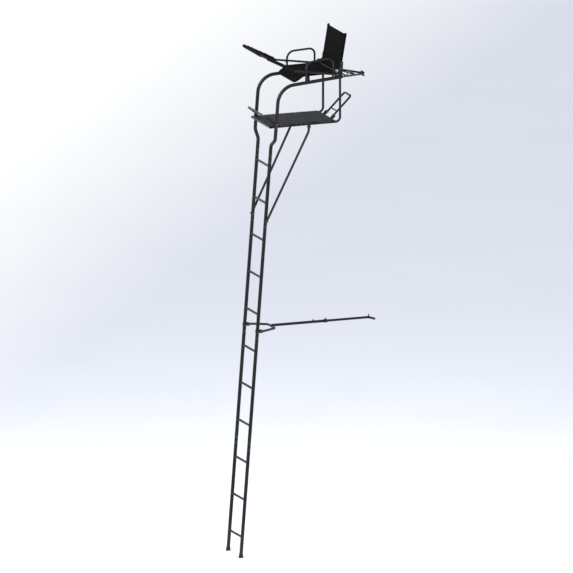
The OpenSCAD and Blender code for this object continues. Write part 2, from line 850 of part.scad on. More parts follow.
module backrest_mesh() {
    half_w = post_x + light_r;
    gap = (light_r + 0.3) / cos(back_lean);
    t = mesh_t / cos(back_lean);
    low_z = 524;
    high_z = back_top_z - 6;
    color(soft) translate([-half_w, 0, 0]) rotate([90, 0, 90]) linear_extrude(half_w * 2)
        polygon([
            [post_at(low_z)[1] - gap, low_z], [post_at(high_z)[1] - gap, high_z],
            [post_at(high_z)[1] - gap - t, high_z], [post_at(low_z)[1] - gap - t, low_z]
        ]);
}

module backrest_fasteners() {
    color(fastener) both_sides() for (z = back_bolt_z) {
        bolt_x(post_x - light_r, plate_in + plate_t, post_at(z)[1], z, 3 - pin_play);
        rod_x(plate_in + plate_t + 3, plate_in + plate_t + 9, post_at(z)[1], z, 8);
    }
}

// ---- Armrests ----

armrest_front = [287, 350, 0];
armrest_rear = [276, 663, 0];
module armrest() {
    front_top = 685;
    rear_top = 704;
    color(steel) difference() {
        bent_tube([armrest_front + [0, 0, 455], armrest_front + [0, 0, front_top],
                   armrest_rear + [0, 0, rear_top], armrest_rear + [0, 0, 470]],
                  [85, 62], light_d, thin_wall);
        seat_rail_bar();
        rod(on_seat_rail(260) - [0, 0, 18], rail_end - [0, 0, 18], rail_r);
    }
}

module right_armrest() armrest();
module left_armrest() mirror([1, 0, 0]) armrest();

// ---- Shooting rail ----

gun_pivot = [arm_half, gun_pivot_y, gun_pivot_z];
gun_bend = [arm_half, 230, 600];
gun_corner = [arm_half, -gun_bar_out, gun_bar_z];
gun_joint = gun_corner + unit(gun_bend - gun_corner) * 80;

module shooting_rail_arm() {
    plug = light_r + 5;
    color(steel) difference() {
        union() {
            bent_tube([gun_pivot, gun_bend, gun_joint], 70, light_d, thin_wall, [plug, -1]);
            rod_x(arm_half - light_r, arm_half + light_r, gun_pivot_y, gun_pivot_z, light_r + 1);
        }
        rod_x(arm_half - light_d, arm_half + light_d, gun_pivot_y, gun_pivot_z,
              pin_r + pin_play);
    }
}

module shooting_rail_right_arm() shooting_rail_arm();
module shooting_rail_left_arm() mirror([1, 0, 0]) shooting_rail_arm();

module shooting_rail_crossbar() {
    color(steel) bent_tube([gun_joint, gun_corner, mirrored(gun_corner), mirrored(gun_joint)],
                           38, light_d, thin_wall);
}

module foam_sleeve(a, b) {
    difference() {
        rod(a, b, pad_d / 2);
        rod(a - unit(b - a), b + unit(b - a), light_r + 0.1);
    }
}

module shooting_rail_pads() {
    u = unit(gun_bend - gun_corner);
    bar_half = arm_half - 50;
    color(soft) {
        foam_sleeve([-bar_half, -gun_bar_out, gun_bar_z], [bar_half, -gun_bar_out, gun_bar_z]);
        both_sides() foam_sleeve(gun_corner + u * 52, gun_bend - u * 28);
    }
}

module shooting_rail_pivots() {
    plate_out = plate_in + plate_t;
    color(fastener) both_sides() {
        rod_x(plate_in - 2.7, arm_half + light_r + 5, gun_pivot_y, gun_pivot_z, pin_r);
        rod_x(plate_in - 2.7, plate_in, gun_pivot_y, gun_pivot_z, 9);
        translate([arm_half + light_r + 0.4, gun_pivot_y, gun_pivot_z]) rotate([0, 90, 0])
            cylinder(r = 9.5, h = 6, $fn = 6);
        difference() {
            rod_x(plate_out, arm_half - light_r - 0.4, gun_pivot_y, gun_pivot_z, 10);
            rod_x(plate_out - 1, arm_half, gun_pivot_y, gun_pivot_z, pin_r + pin_play);
        }
    }
}

// Ledges on the armrests' front legs that the shooting rail comes down on
module shooting_rail_rests() {
    rest_z = 564.2;
    color(steel) both_sides() difference() {
        translate([armrest_front[0], armrest_front[1] - light_r, rest_z])
            cube([arm_half + 8 - armrest_front[0], light_d, plate_t]);
        translate([armrest_front[0], armrest_front[1], rest_z - 10])
            cylinder(r = light_r, h = 30);
    }
}

place() foot_caps();
place() section_1_rails();
place() section_2_rails();
place() section_3_rails();
place() section_4_rails();
place() section_1_rungs();
place() section_2_rungs();
place() section_3_rungs();
place() section_4_rungs();
place() joint_sleeves();
place() joint_fasteners();
place() upright_left();
place() upright_right();
place() rail_end_caps();
place() tree_bracket_left_arm();
place() tree_bracket_right_arm();
place() tree_bracket_cross_bars();
place() tree_bracket_tip_plate();
place() platform_left_tube();
place() platform_right_tube();
place() platform_front_bar();
place() platform_cross_bars();
place() platform_floor();
place() platform_fasteners();
place() platform_braces();
place() brace_tabs();
place() brace_fasteners();
place() stabilizer_clamps();
place() stabilizer_yoke();
place() stabilizer_pivot_bolts();
place() stabilizer_outer_tube();
place() stabilizer_lock_screws();
place() stabilizer_inner_tube();
place() stabilizer_claw();
place() footrest_frame();
place() footrest_bolts();
place() footrest_stops();
place() lower_brace_frame();
place() lower_brace_tabs();
place() lower_brace_bolts();
place() hinge_plates();
place() seat_frame();
place() seat_rear_bar();
place() seat_hinge_lugs();
place() seat_pivot_bolts();
place() seat_rests();
place() seat_mesh();
place() backrest_posts();
place() backrest_bars();
place() backrest_post_caps();
place() backrest_mesh();
place() backrest_fasteners();
place() left_armrest();
place() right_armrest();
place() shooting_rail_left_arm();
place() shooting_rail_right_arm();
place() shooting_rail_crossbar();
place() shooting_rail_pads();
place() shooting_rail_pivots();
place() shooting_rail_rests();
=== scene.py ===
import json
import math

import bpy
import numpy as np
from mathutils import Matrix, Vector


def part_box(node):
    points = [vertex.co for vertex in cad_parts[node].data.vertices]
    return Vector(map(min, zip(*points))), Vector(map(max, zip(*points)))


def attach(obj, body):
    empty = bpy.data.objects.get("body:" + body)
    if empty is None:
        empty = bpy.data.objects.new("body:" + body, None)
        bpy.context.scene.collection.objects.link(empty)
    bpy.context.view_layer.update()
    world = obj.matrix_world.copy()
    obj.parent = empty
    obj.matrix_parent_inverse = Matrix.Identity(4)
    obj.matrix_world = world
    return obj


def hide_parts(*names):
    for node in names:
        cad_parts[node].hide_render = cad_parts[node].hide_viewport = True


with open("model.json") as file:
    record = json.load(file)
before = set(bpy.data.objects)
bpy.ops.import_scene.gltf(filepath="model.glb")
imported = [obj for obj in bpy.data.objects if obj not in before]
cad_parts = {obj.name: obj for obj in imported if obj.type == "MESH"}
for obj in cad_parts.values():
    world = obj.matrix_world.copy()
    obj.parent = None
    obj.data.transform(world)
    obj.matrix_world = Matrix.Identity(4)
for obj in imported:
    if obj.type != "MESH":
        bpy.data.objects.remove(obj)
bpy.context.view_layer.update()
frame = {"nodes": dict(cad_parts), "record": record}

# Lengths are in metres and angles in radians unless a name says degrees.
MM = 0.001
TAU = 2 * math.pi
X_AXIS, Z_AXIS = Vector((1, 0, 0)), Vector((0, 0, 1))


# ---- Places, taken from the frame ----

FRONT_BAR_OUT = 55 * MM          # the platform's front bar stands this far before the datum
BAR_LOW, BAR_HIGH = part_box("platform_front_bar")
FRAME_R = (BAR_HIGH.z - BAR_LOW.z) / 2
DATUM = (BAR_LOW + BAR_HIGH) / 2 + Vector((0, FRONT_BAR_OUT, 0))
DATUM.x = 0
LEAN = math.radians(4.4)
LADDER_R = 19 * MM
LADDER_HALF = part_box("section_2_rails")[1].x - LADDER_R
LIGHT_R = 11 * MM
RUNG_R = 12.5 * MM
FOOT = Vector((0, DATUM.y - DATUM.z * math.tan(LEAN), 0))
UP_LADDER = Vector((0, math.sin(LEAN), math.cos(LEAN)))
BACK_LADDER = Vector((0, math.cos(LEAN), -math.sin(LEAN)))
FIRST_RUNG, RUNG_PITCH, RUNGS = 224 * MM, 406.4 * MM, 11
SIDES = (-1, 1)
BACK_LEAN = math.radians(9.6)
BACK_UP = Vector((0, math.sin(BACK_LEAN), math.cos(BACK_LEAN)))
POST_X, POST_FOOT_Y, POST_FOOT_Z = 254, 752, 575      # the backrest's posts, in mm
RAIL_BEND_Y, RAIL_END_Y = 33.8, 775                   # the seat rails' straight part, in mm
BRACE_TAB_Y = 396                                     # the platform braces' upper bolts, in mm


def at(x, y, z):
    """A point given in millimetres from the platform's datum."""
    return DATUM + Vector((x, y, z)) * MM


def mirrored(p):
    return Vector((-p.x, p.y, p.z))


def on_ladder(x, along, back=0.0):
    """A point on the ladder: across, along the rails, and back from their centre lines."""
    return FOOT + X_AXIS * x + UP_LADDER * along + BACK_LADDER * back


def post_y(z):
    """How far the backrest's posts stand behind the datum at a height z, in mm."""
    return POST_FOOT_Y + (z - POST_FOOT_Z) * math.tan(BACK_LEAN)


def side_half(y):
    """Half width between the platform's side tubes at a distance y from the datum, in mm."""
    return 268 - 13 * (y + 55) / 807


def seat_rail_point(y, side):
    """A point on the seat rail's centre line, y in mm from the datum."""
    share = (y - RAIL_BEND_Y) / (RAIL_END_Y - RAIL_BEND_Y)
    return at(side * (300 - 46.5 * share), y, 439 + 50 * share)


def rail_heading(side):
    """The seat rail's direction, from its front to its tree end."""
    return seat_rail_point(RAIL_END_Y, side) - seat_rail_point(260, side)


# ---- Materials ----

class Graph:
    """One material's node tree, with short calls for the nodes that the finishes share."""

    def __init__(self, name):
        self.material = bpy.data.materials.new(name)
        self.material.use_nodes = True
        self.tree = self.material.node_tree
        self.shader = self.tree.nodes["Principled BSDF"]
        coords = self.tree.nodes.new("ShaderNodeTexCoord")
        self.place = coords.outputs["Object"]
        self.facing = coords.outputs["Normal"]
        self.cut = coords.outputs["UV"]

    def put(self, socket, value):
        if isinstance(value, bpy.types.NodeSocket):
            self.tree.links.new(value, socket)
        elif value is not None:
            socket.default_value = value

    def node(self, kind, *values, **settings):
        made = self.tree.nodes.new("ShaderNode" + kind)
        for key, value in settings.items():
            setattr(made, key, value)
        for socket, value in zip(made.inputs, values):
            self.put(socket, value)
        return made

    def math(self, operation, *values):
        return self.node("Math", *values, operation=operation).outputs[0]

    def noise(self, scale, detail=2.0, roughness=0.5, where=None):
        made = self.node("TexNoise")
        self.put(made.inputs["Vector"], where or self.place)
        made.inputs["Scale"].default_value = scale
        made.inputs["Detail"].default_value = detail
        made.inputs["Roughness"].default_value = roughness
        return made.outputs[0]

    def cells(self, scale):
        made = self.node("TexVoronoi")
        self.put(made.inputs["Vector"], self.place)
        made.inputs["Scale"].default_value = scale
        return made.outputs["Distance"]

    def stretched(self, x, y, z):
        return self.node("VectorMath", self.place, (x, y, z), operation="MULTIPLY").outputs[0]

    def span(self, value, low, high, out_low=0.0, out_high=1.0):
        """value from low..high spread over out_low..out_high, and held at the ends."""
        return self.node("MapRange", value, low, high, out_low, out_high).outputs[0]

    def blend(self, share, first, second):
        made = self.node("Mix", data_type="RGBA")
        for socket, value in ((0, share), (6, first), (7, second)):
            self.put(made.inputs[socket], value)
        return made.outputs[2]

    def part(self, vector, axis):
        return self.node("SeparateXYZ", vector).outputs[axis]

    def bump(self, height, depth, under=None):
        made = self.node("Bump")
        made.inputs["Distance"].default_value = depth
        self.put(made.inputs["Height"], height)
        self.put(made.inputs["Normal"], under)
        return made.outputs[0]

    def finish(self, colour, roughness, normal=None, **fixed):
        self.put(self.shader.inputs["Base Color"], colour)
        self.put(self.shader.inputs["Roughness"], roughness)
        self.put(self.shader.inputs["Normal"], normal)
        for name, value in fixed.items():
            self.shader.inputs[name.replace("_", " ")].default_value = value
        return self.material


def rgb(value, tint=(1, 1, 1)):
    return (value * tint[0], value * tint[1], value * tint[2], 1)


WARM, COOL = (1.0, 0.93, 0.82), (0.94, 0.98, 1.06)


def powder_coat(name, black=0.008, wear=0.30, low_dirt=False):
    """Black powder coat: orange peel, slow drift of tone, hairline scuffs, a few chips and dust."""
    g = Graph(name)
    peel = g.noise(900, 2.0, 0.6)
    drift = g.noise(7, 3.0)
    lines = g.noise(60, 4.0, 0.7, g.stretched(5.0, 5.0, 0.6))
    scuff = g.math("MULTIPLY", g.span(lines, 0.60, 0.68), wear)
    patch = g.span(g.noise(11, 2.0), 0.56, 0.62)
    chip = g.math("MULTIPLY", g.span(g.cells(240), 0.11, 0.08), patch)
    chip = g.math("MULTIPLY", chip, wear)
    upward = g.span(g.part(g.facing, 2), 0.35, 1.0)
    dust = g.math("MULTIPLY", upward, g.span(g.noise(38, 5.0, 0.65), 0.45, 0.75, 0.01, 0.15))
    if low_dirt:
        splash = g.span(g.math("ADD", g.part(g.place, 2), g.math("MULTIPLY", drift, 0.25)),
                        0.12, 0.55, 0.45, 0.0)
        dust = g.math("MAXIMUM", dust, g.math("MULTIPLY", splash, g.noise(90, 4.0)))
    colour = g.blend(drift, rgb(black * 0.75, COOL), rgb(black * 1.35))
    colour = g.blend(scuff, colour, rgb(0.075, COOL))
    colour = g.blend(chip, colour, rgb(0.22))
    colour = g.blend(dust, colour, rgb(0.09, WARM))
    rough = g.math("ADD", g.span(drift, 0.3, 0.7, 0.36, 0.46), g.math("MULTIPLY", dust, 0.6))
    rough = g.math("ADD", rough, g.math("MULTIPLY", scuff, 0.25))
    normal = g.bump(peel, 0.00022)
    normal = g.bump(g.math("MULTIPLY", chip, -1.0), 0.00012, normal)
    return g.finish(colour, rough, normal, Specular_IOR_Level=0.18)


def worn_tread(name):
    """The same coat where boots rub it: the upper edges of the strands show dull steel."""
    g = Graph(name)
    peel = g.noise(800, 2.0, 0.6)
    drift = g.noise(9, 3.0)
    height = g.part(g.place, 2)
    floor_low, floor_high = FLOOR_Z + FLOOR_RISE * 0.55, FLOOR_Z + FLOOR_RISE
    rubbed = g.math("MULTIPLY", g.span(height, floor_low, floor_high),
                    g.span(g.noise(14, 4.0, 0.6), 0.42, 0.66))
    rubbed = g.math("MULTIPLY", rubbed, 0.12)
    dust = g.span(g.noise(30, 5.0, 0.7), 0.45, 0.8, 0.0, 0.05)
    colour = g.blend(drift, rgb(0.005, COOL), rgb(0.009))
    colour = g.blend(rubbed, colour, rgb(0.17))
    colour = g.blend(dust, colour, rgb(0.08, WARM))
    rough = g.math("ADD", g.span(drift, 0.3, 0.7, 0.34, 0.46), g.math("MULTIPLY", dust, 0.8))
    return g.finish(colour, rough, g.bump(peel, 0.0002), Specular_IOR_Level=0.15)


def dark_zinc(name):
    """Black zinc plating, brighter where a spanner has touched it."""
    g = Graph(name)
    mottle = g.noise(160, 4.0, 0.65)
    touched = g.span(g.noise(420, 3.0), 0.52, 0.70, 0.0, 0.7)
    colour = g.blend(mottle, rgb(0.055), rgb(0.12, WARM))
    colour = g.blend(touched, colour, rgb(0.34))
    rough = g.span(mottle, 0.25, 0.75, 0.26, 0.48)
    return g.finish(colour, rough, g.bump(g.noise(1500, 2.0), 0.00008), Metallic=0.9)


def bright_zinc(name):
    """Clear zinc plating, dulled in patches."""
    g = Graph(name)
    mottle = g.noise(220, 4.0, 0.65)
    colour = g.blend(mottle, rgb(0.34, COOL), rgb(0.58))
    return g.finish(colour, g.span(mottle, 0.25, 0.75, 0.30, 0.5),
                    g.bump(g.noise(1300, 2.0), 0.00008), Metallic=0.75)


def moulded_rubber(name, dirt=0.25):
    """Matt black rubber with a grained skin and a little ground-in dust."""
    g = Graph(name)
    grain = g.cells(1100)
    dust = g.span(g.noise(70, 5.0, 0.7), 0.42, 0.72, 0.0, dirt)
    colour = g.blend(g.noise(20, 3.0), rgb(0.010), rgb(0.020, WARM))
    colour = g.blend(dust, colour, rgb(0.11, WARM))
    rough = g.span(g.noise(60, 3.0), 0.3, 0.7, 0.62, 0.82)
    return g.finish(colour, rough, g.bump(grain, 0.00025), Specular_IOR_Level=0.25)


def woven(name, pitch, black=0.003, shine=0.7):
    """Coated yarns in a plain weave. The yarns follow the cut cloth's own width and length."""
    g = Graph(name)
    across = g.math("DIVIDE", g.part(g.cut, 0), pitch)
    along = g.math("DIVIDE", g.part(g.cut, 1), pitch)
    warp = g.math("ABSOLUTE", g.math("SINE", g.math("MULTIPLY", across, math.pi)))
    weft = g.math("ABSOLUTE", g.math("SINE", g.math("MULTIPLY", along, math.pi)))
    steps = g.math("ADD", g.math("FLOOR", across), g.math("FLOOR", along))
    over = g.math("MODULO", g.math("ABSOLUTE", steps), 2.0)
    height = g.math("ADD", g.math("MULTIPLY", over, warp),
                    g.math("MULTIPLY", g.math("SUBTRACT", 1.0, over), weft))
    height = g.math("MULTIPLY", height, g.math("POWER", g.math("MULTIPLY", warp, weft), 0.35))
    drift = g.noise(13, 4.0, 0.6)
    lint = g.span(g.noise(520, 3.0, 0.7), 0.60, 0.74, 0.0, 0.25)
    # painted shade and highlight: the cloth is darker in the dips between yarns and lighter and
    # cooler on the yarn tops
    colour = g.blend(height, rgb(black * 0.35), rgb(black * 1.5, COOL))
    colour = g.blend(g.span(drift, 0.4, 0.8, 0.0, 0.35), colour, rgb(black * 3.0, WARM))
    colour = g.blend(g.math("MULTIPLY", lint, height), colour, rgb(0.04))
    rough = g.span(height, 0.0, 1.0, 0.85, shine)
    normal = g.bump(height, pitch * 0.22)
    normal = g.bump(g.noise(45, 3.0), 0.0006, normal)
    return g.finish(colour, rough, normal, Sheen_Weight=0.004, Sheen_Roughness=0.4,
                    Specular_IOR_Level=0.02)


# ---- Mesh building ----

class Pile:
    """The vertices, faces and cloth coordinates of one piece, added shape by shape."""

    def __init__(self):
        self.points, self.faces, self.cuts = [], [], []

    def add(self, points, faces, cuts=None):
        start = len(self.points)
        self.points += [Vector(p) for p in points]
        self.faces += [[start + i for i in f] for f in faces]
        self.cuts += cuts or [(0.0, 0.0)] * len(points)
        return start

    def rings(self, rings, round_them=True, caps=True, cuts=None):
        """Quads between rings of equal length, and flat ends."""
        count, faces = len(rings[0]), []
        for r in range(len(rings) - 1):
            for i in range(count if round_them else count - 1):
                j = (i + 1) % count
                faces.append([r * count + i, r * count + j,
                              (r + 1) * count + j, (r + 1) * count + i])
        if caps:
            faces.append(list(range(count))[::-1])
            faces.append([(len(rings) - 1) * count + i for i in range(count)])
        return self.add([p for ring in rings for p in ring], faces, cuts)

    def loop(self, rings):
        """A closed ring of rings, such as a weld bead."""
        count, total, faces = len(rings[0]), len(rings), []
        for r in range(total):
            for i in range(count):
                j, s = (i + 1) % count, (r + 1) % total
                faces.append([r * count + i, r * count + j, s * count + j, s * count + i])
        self.add([p for ring in rings for p in ring], faces)

    def lathe(self, centre, axis, profile, sides=40, turn=0.0):
        """Rings of radius and height along an axis."""
        u, v = across_axes(axis)
        self.rings([[centre + axis * h + (u * math.cos(a) + v * math.sin(a)) * r
                     for a in (turn + TAU * k / sides for k in range(sides))]
                    for r, h in profile])

    def sweep(self, path, section, up=None, caps=True):
        """A section, a list of (side, up) pairs or a call giving it per point, along a path."""
        rings, side = [], None
        for i, p in enumerate(path):
            ahead = (path[min(i + 1, len(path) - 1)] - path[max(i - 1, 0)]).normalized()
            lift = up[i] if isinstance(up, list) else up
            if lift is not None:
                side = lift.cross(ahead).normalized()
            elif side is None:
                side = across_axes(ahead)[0]
            else:
                side = (side - ahead * side.dot(ahead)).normalized()
            top = ahead.cross(side)
            pairs = section(i) if callable(section) else section
            rings.append([p + side * a + top * b for a, b in pairs])
        self.rings(rings, caps=caps)

    def piece(self, name, material, body, slot, replaces=(), sharp_degrees=34):
        mesh = bpy.data.meshes.new(name)
        mesh.from_pydata(self.points, [], self.faces)
        mesh.validate()
        mesh.update()
        layer = mesh.uv_layers.new(name="cut")
        corners = np.zeros(len(mesh.loops), np.int32)
        mesh.loops.foreach_get("vertex_index", corners)
        layer.data.foreach_set("uv", np.array(self.cuts, np.float32)[corners].ravel())
        mesh.shade_smooth()
        mesh.set_sharp_from_angle(angle=math.radians(sharp_degrees))
        made = bpy.data.objects.new(name, mesh)
        bpy.context.scene.collection.objects.link(made)
        mesh.materials.append(material)
        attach(made, body)
        if replaces:
            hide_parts(*replaces)
        return made


def across_axes(axis):
    """Two unit vectors square to an axis and to each other."""
    helper = Z_AXIS if abs(axis.z) < 0.9 else X_AXIS
    u = helper.cross(axis).normalized()
    return u, axis.cross(u).normalized()


def circle(r, sides=10, squash=1.0):
    return [(r * math.cos(TAU * k / sides), r * squash * math.sin(TAU * k / sides))
            for k in range(sides)]


def thicken(piece, thickness, offset=0.0):
    made = piece.modifiers.new("thickness", "SOLIDIFY")
    made.thickness = thickness
    made.offset = offset
    return piece


# ---- Welds ----

WELD_STEPS, WELD_SIDES = 60, 7
WELD_R, THIN_WELD_R = 2.4 * MM, 1.8 * MM


def weld(pile, start, heading, r, centre, axis, big_r, bead=WELD_R):
    """A rippled bead where a tube of radius r, coming from start, meets a larger tube."""
    heading, axis = heading.normalized(), axis.normalized()
    u, v = across_axes(heading)
    ring = []
    for k in range(WELD_STEPS):
        a = TAU * k / WELD_STEPS
        p = start + (u * math.cos(a) + v * math.sin(a)) * r - centre
        p -= axis * p.dot(axis)
        h = heading - axis * heading.dot(axis)
        qa, qb, qc = h.dot(h), 2 * p.dot(h), p.dot(p) - big_r ** 2
        root = max(qb * qb - 4 * qa * qc, 0.0)
        reach = (-qb - math.sqrt(root)) / (2 * qa)
        ring.append(start + (u * math.cos(a) + v * math.sin(a)) * r + heading * reach)
    middle = sum(ring, Vector()) / len(ring)
    rings = []
    for k, p in enumerate(ring):
        ahead = (ring[(k + 1) % WELD_STEPS] - ring[k - 1]).normalized()
        out = p - middle
        out = (out - ahead * out.dot(ahead)).normalized()
        over = ahead.cross(out)
        size = bead * (1.0 + 0.16 * math.cos(TAU * k / 3) + 0.06 * math.sin(k * 1.7))
        rings.append([p + out * size * math.cos(b) + over * size * math.sin(b)
                      for b in (TAU * j / WELD_SIDES for j in range(WELD_SIDES))])
    pile.loop(rings)


def weld_beads():
    stand, seat, brace = Pile(), Pile(), Pile()
    for side in SIDES:
        inward = X_AXIS * -side
        for i in range(RUNGS):
            rung = on_ladder(0, FIRST_RUNG + i * RUNG_PITCH)
            rail = on_ladder(side * LADDER_HALF, FIRST_RUNG + i * RUNG_PITCH)
            weld(stand, rung, -inward, RUNG_R, rail, UP_LADDER, LADDER_R)
        tube_axis = at(255 * side, 752, 0) - at(268 * side, -55, 0)
        for y in (230, 465, 700):
            weld(stand, at(0, y, 0), -inward, LIGHT_R, at(side * side_half(y), y, 0),
                 tube_axis, FRAME_R)
        weld(stand, at(268 * side, 60, 0), at(0, -1, 0) - at(0, 0, 0), FRAME_R,
             at(0, -55, 0), X_AXIS, FRAME_R)
        rail_axis = rail_heading(side)
        weld(stand, at(255 * side, 752, 200), Z_AXIS, FRAME_R,
             seat_rail_point(752, side), rail_axis, LADDER_R)
        for x, y in ((287, 350), (276, 663)):
            weld(stand, at(x * side, y, 640), -Z_AXIS, LIGHT_R,
                 seat_rail_point(y, side), rail_axis, LADDER_R)
        for z in (600, 932):
            weld(stand, at(0, post_y(z), z), -inward, 8 * MM,
                 at(POST_X * side, post_y(z), z), BACK_UP, LIGHT_R, THIN_WELD_R)
        arm_start, arm_end = at(253.5 * side, RAIL_END_Y, 489), at(28 * side, 1104, 447)
        for y in (850, 985):
            end = arm_start.lerp(arm_end, (y - RAIL_END_Y) / (1104 - RAIL_END_Y))
            weld(stand, Vector((0, end.y, end.z)), -inward, 8 * MM, end, arm_end - arm_start,
                 LIGHT_R, THIN_WELD_R)
        weld(seat, at(0, 712, 541), -inward, 10 * MM, at(247 * side, 712, 541),
             at(0, 724, 541) - at(0, 330, 535), LIGHT_R, THIN_WELD_R)
        mid = at(0, 740 + 198 * 0.2, 36 + 196 * 0.2)
        weld(brace, mid, -inward, 7.7 * MM, mid + X_AXIS * 95 * MM * side,
             at(0, 938, 232) - at(0, 740, 36), LIGHT_R, 1.6 * MM)
    for pile, name, body in ((stand, "weld_beads", "stand"), (seat, "seat_weld_beads", "seat"),
                             (brace, "lower_brace_weld_beads", "lower_brace")):
        pile.piece(name, coat, body, "powder_coated_steel")


# ---- Fasteners ----

def hexagon_head(pile, base, axis, r, h, turn=0.0):
    """A hexagon with a chamfered top, on a thin washer face."""
    pile.lathe(base, axis, [(r * 0.92, 0), (r * 0.92, h * 0.08)], 32)
    pile.lathe(base, axis, [(r, h * 0.08), (r, h * 0.82), (r * 0.86, h)], 6, turn)


def bolt(pile, nut_side, head_side, r, turn=0.3):
    """Washer and head at one end, washer, lock nut and thread at the other."""
    axis = (head_side - nut_side).normalized()
    washer, head_r, head_h = 0.28 * r, 1.9 * r, 1.2 * r
    washer_profile = [(head_r * 1.12, 0), (head_r * 1.16, washer * 0.3),
                      (head_r * 1.16, washer * 0.7), (head_r * 1.12, washer)]
    pile.lathe(head_side, axis, washer_profile, 36)
    hexagon_head(pile, head_side + axis * washer, axis, head_r, head_h - washer, turn)
    pile.lathe(nut_side, -axis, washer_profile, 36)
    hexagon_head(pile, nut_side - axis * washer, -axis, head_r, head_h * 0.74, turn + 0.4)
    pile.lathe(nut_side - axis * (washer + head_h * 0.74), -axis,
               [(head_r * 0.80, 0), (head_r * 0.80, head_h * 0.12), (head_r * 0.70, head_h * 0.2)])
    threads = [(r * (1.0 if k % 2 else 0.88), head_h * 0.9 + 0.45 * MM * k) for k in range(7)]
    pile.lathe(nut_side, -axis, threads + [(r * 0.6, threads[-1][1] + 0.4 * MM)], 20)
    pile.lathe(nut_side, axis, [(r, 0), (r, (head_side - nut_side).length)], 20)


def bolt_across(pile, x_in, x_out, y, z, r, turn=0.3):
    """The same bolt on both sides of the stand, its nut on the inner side, in millimetres."""
    for side in SIDES:
        bolt(pile, at(x_in * side, y, z), at(x_out * side, y, z), r * MM, turn)


def ladder_mm(along, back=0.0):
    """Distances y and z from the datum, in mm, of a point on the ladder."""
    p = (on_ladder(0, along * MM, back * MM) - DATUM) / MM
    return p.y, p.z


def hardware(pile, name, replaced, body="stand", finish=None):
    """Makes a piece of the pile, which takes the place of one CAD node of fasteners."""
    pile.piece(name, finish or zinc, body, "zinc_black_fastener", [replaced])


def fasteners():
    """Every bolt that isn't a seat or shooting rail pivot, in millimetres."""
    joints = Pile()
    rail_in, rail_out, joint_bolt_r, pivot_r = 172.5, 210.5, 3.95, 5
    for n, along in enumerate((1219.2, 2438.4, 3657.6, 4370)):
        for off in (-32, 32):
            clamp = 4 if (n, off) == (1, 32) else 0     # this bolt holds the stabilizer's clamp
            if (n, off) != (2, 32):                     # and here the brace's own bolt serves
                bolt_across(joints, rail_in - clamp, rail_out + clamp, *ladder_mm(along + off),
                            joint_bolt_r, 0.2 * n)
    hardware(joints, "joint_bolts", "joint_fasteners")

    tab_x = side_half(BRACE_TAB_Y)
    for name, replaced, bolts in (
            ("platform_bolts", "platform_fasteners",
             [(side_half(0) - 12.7, 319, 0, 0, joint_bolt_r)]),
            ("brace_bolts", "brace_fasteners",
             [(tab_x - 29.9, tab_x + 2.5, BRACE_TAB_Y, -34, joint_bolt_r),
              (rail_in, 237.9, *ladder_mm(3657.6 + 32), joint_bolt_r)]),
            ("stabilizer_bolts", "stabilizer_pivot_bolts",
             [(173.5, 209.5, *ladder_mm(2482, 39), pivot_r)]),
            ("footrest_pivot_bolts", "footrest_bolts", [(255.5, 319, 0, 32, pivot_r, 0.1)]),
            ("lower_brace_pivot_bolts", "lower_brace_bolts",
             [(82.5, 112.5, 740, 36, pivot_r, 0.6)])):
        pile = Pile()
        for measures in bolts:
            bolt_across(pile, *measures)
        hardware(pile, name, replaced)

    back = Pile()
    for z in (580, 640):
        y = post_y(z)
        for side in SIDES:
            out = X_AXIS * side
            outer = at(270 * side, y, z)
            bolt(back, at(243 * side, y, z), outer, 2.95 * MM)
            back.lathe(outer + out * 3.6 * MM, out,
                       [(5 * MM, 0), (7.6 * MM, 0.6 * MM), (8 * MM, 2 * MM),
                        (8 * MM, 4.4 * MM), (7 * MM, 5.6 * MM), (4 * MM, 6 * MM)], 12)
    hardware(back, "backrest_knobs", "backrest_fasteners")


def seat_discs():
    """The seat's pivots: a broad disc with a recessed face and a hexagon outside."""
    pile = Pile()
    for side in SIDES:
        out = X_AXIS * side
        inner, plate_out = at(250.4 * side, 709, 563), at(270 * side, 709, 563)
        pile.lathe(at(242.4 * side, 709, 563), out, [(5 * MM, 0), (5 * MM, 35.6 * MM)], 24)
        pile.lathe(plate_out, out,
                   [(14.2 * MM, 0), (15 * MM, 0.8 * MM), (15 * MM, 4.6 * MM),
                    (14.2 * MM, 5.4 * MM), (12.0 * MM, 5.4 * MM), (11.4 * MM, 4.4 * MM),
                    (9.2 * MM, 4.4 * MM)], 48)
        hexagon_head(pile, plate_out + out * 4.4 * MM, out, 8.4 * MM, 3.6 * MM)
        hexagon_head(pile, inner, -out, 9 * MM, 6 * MM, 0.5)
        pile.lathe(at(262 * side, 709, 563), out, [(8 * MM, 0), (8 * MM, 3 * MM)], 32)
    hardware(pile, "seat_pivot_discs", "seat_pivot_bolts", finish=disc_zinc)


def rail_pivots():
    """The shooting rail's pivots: spacer, washer and lock nut."""
    pile = Pile()
    for side in SIDES:
        out = X_AXIS * side

        def here(x):
            return at(x * side, 700, 530)

        pile.lathe(here(262.3), out, [(5 * MM, 0), (5 * MM, 64.7 * MM)], 24)
        pile.lathe(here(262.3), out, [(9 * MM, 0), (9 * MM, 2.7 * MM)], 32)
        pile.lathe(here(270), out,
                   [(9.4 * MM, 0), (10 * MM, 0.6 * MM), (10 * MM, 29 * MM),
                    (9.4 * MM, 29.6 * MM)], 40)
        hexagon_head(pile, here(322.4), out, 9.5 * MM, 5.2 * MM)
        pile.lathe(here(327), out, [(4.6 * MM, 0), (4.6 * MM, 1.0 * MM), (3.6 * MM, 1.4 * MM)], 20)
    hardware(pile, "shooting_rail_pivot_pins", "shooting_rail_pivots")


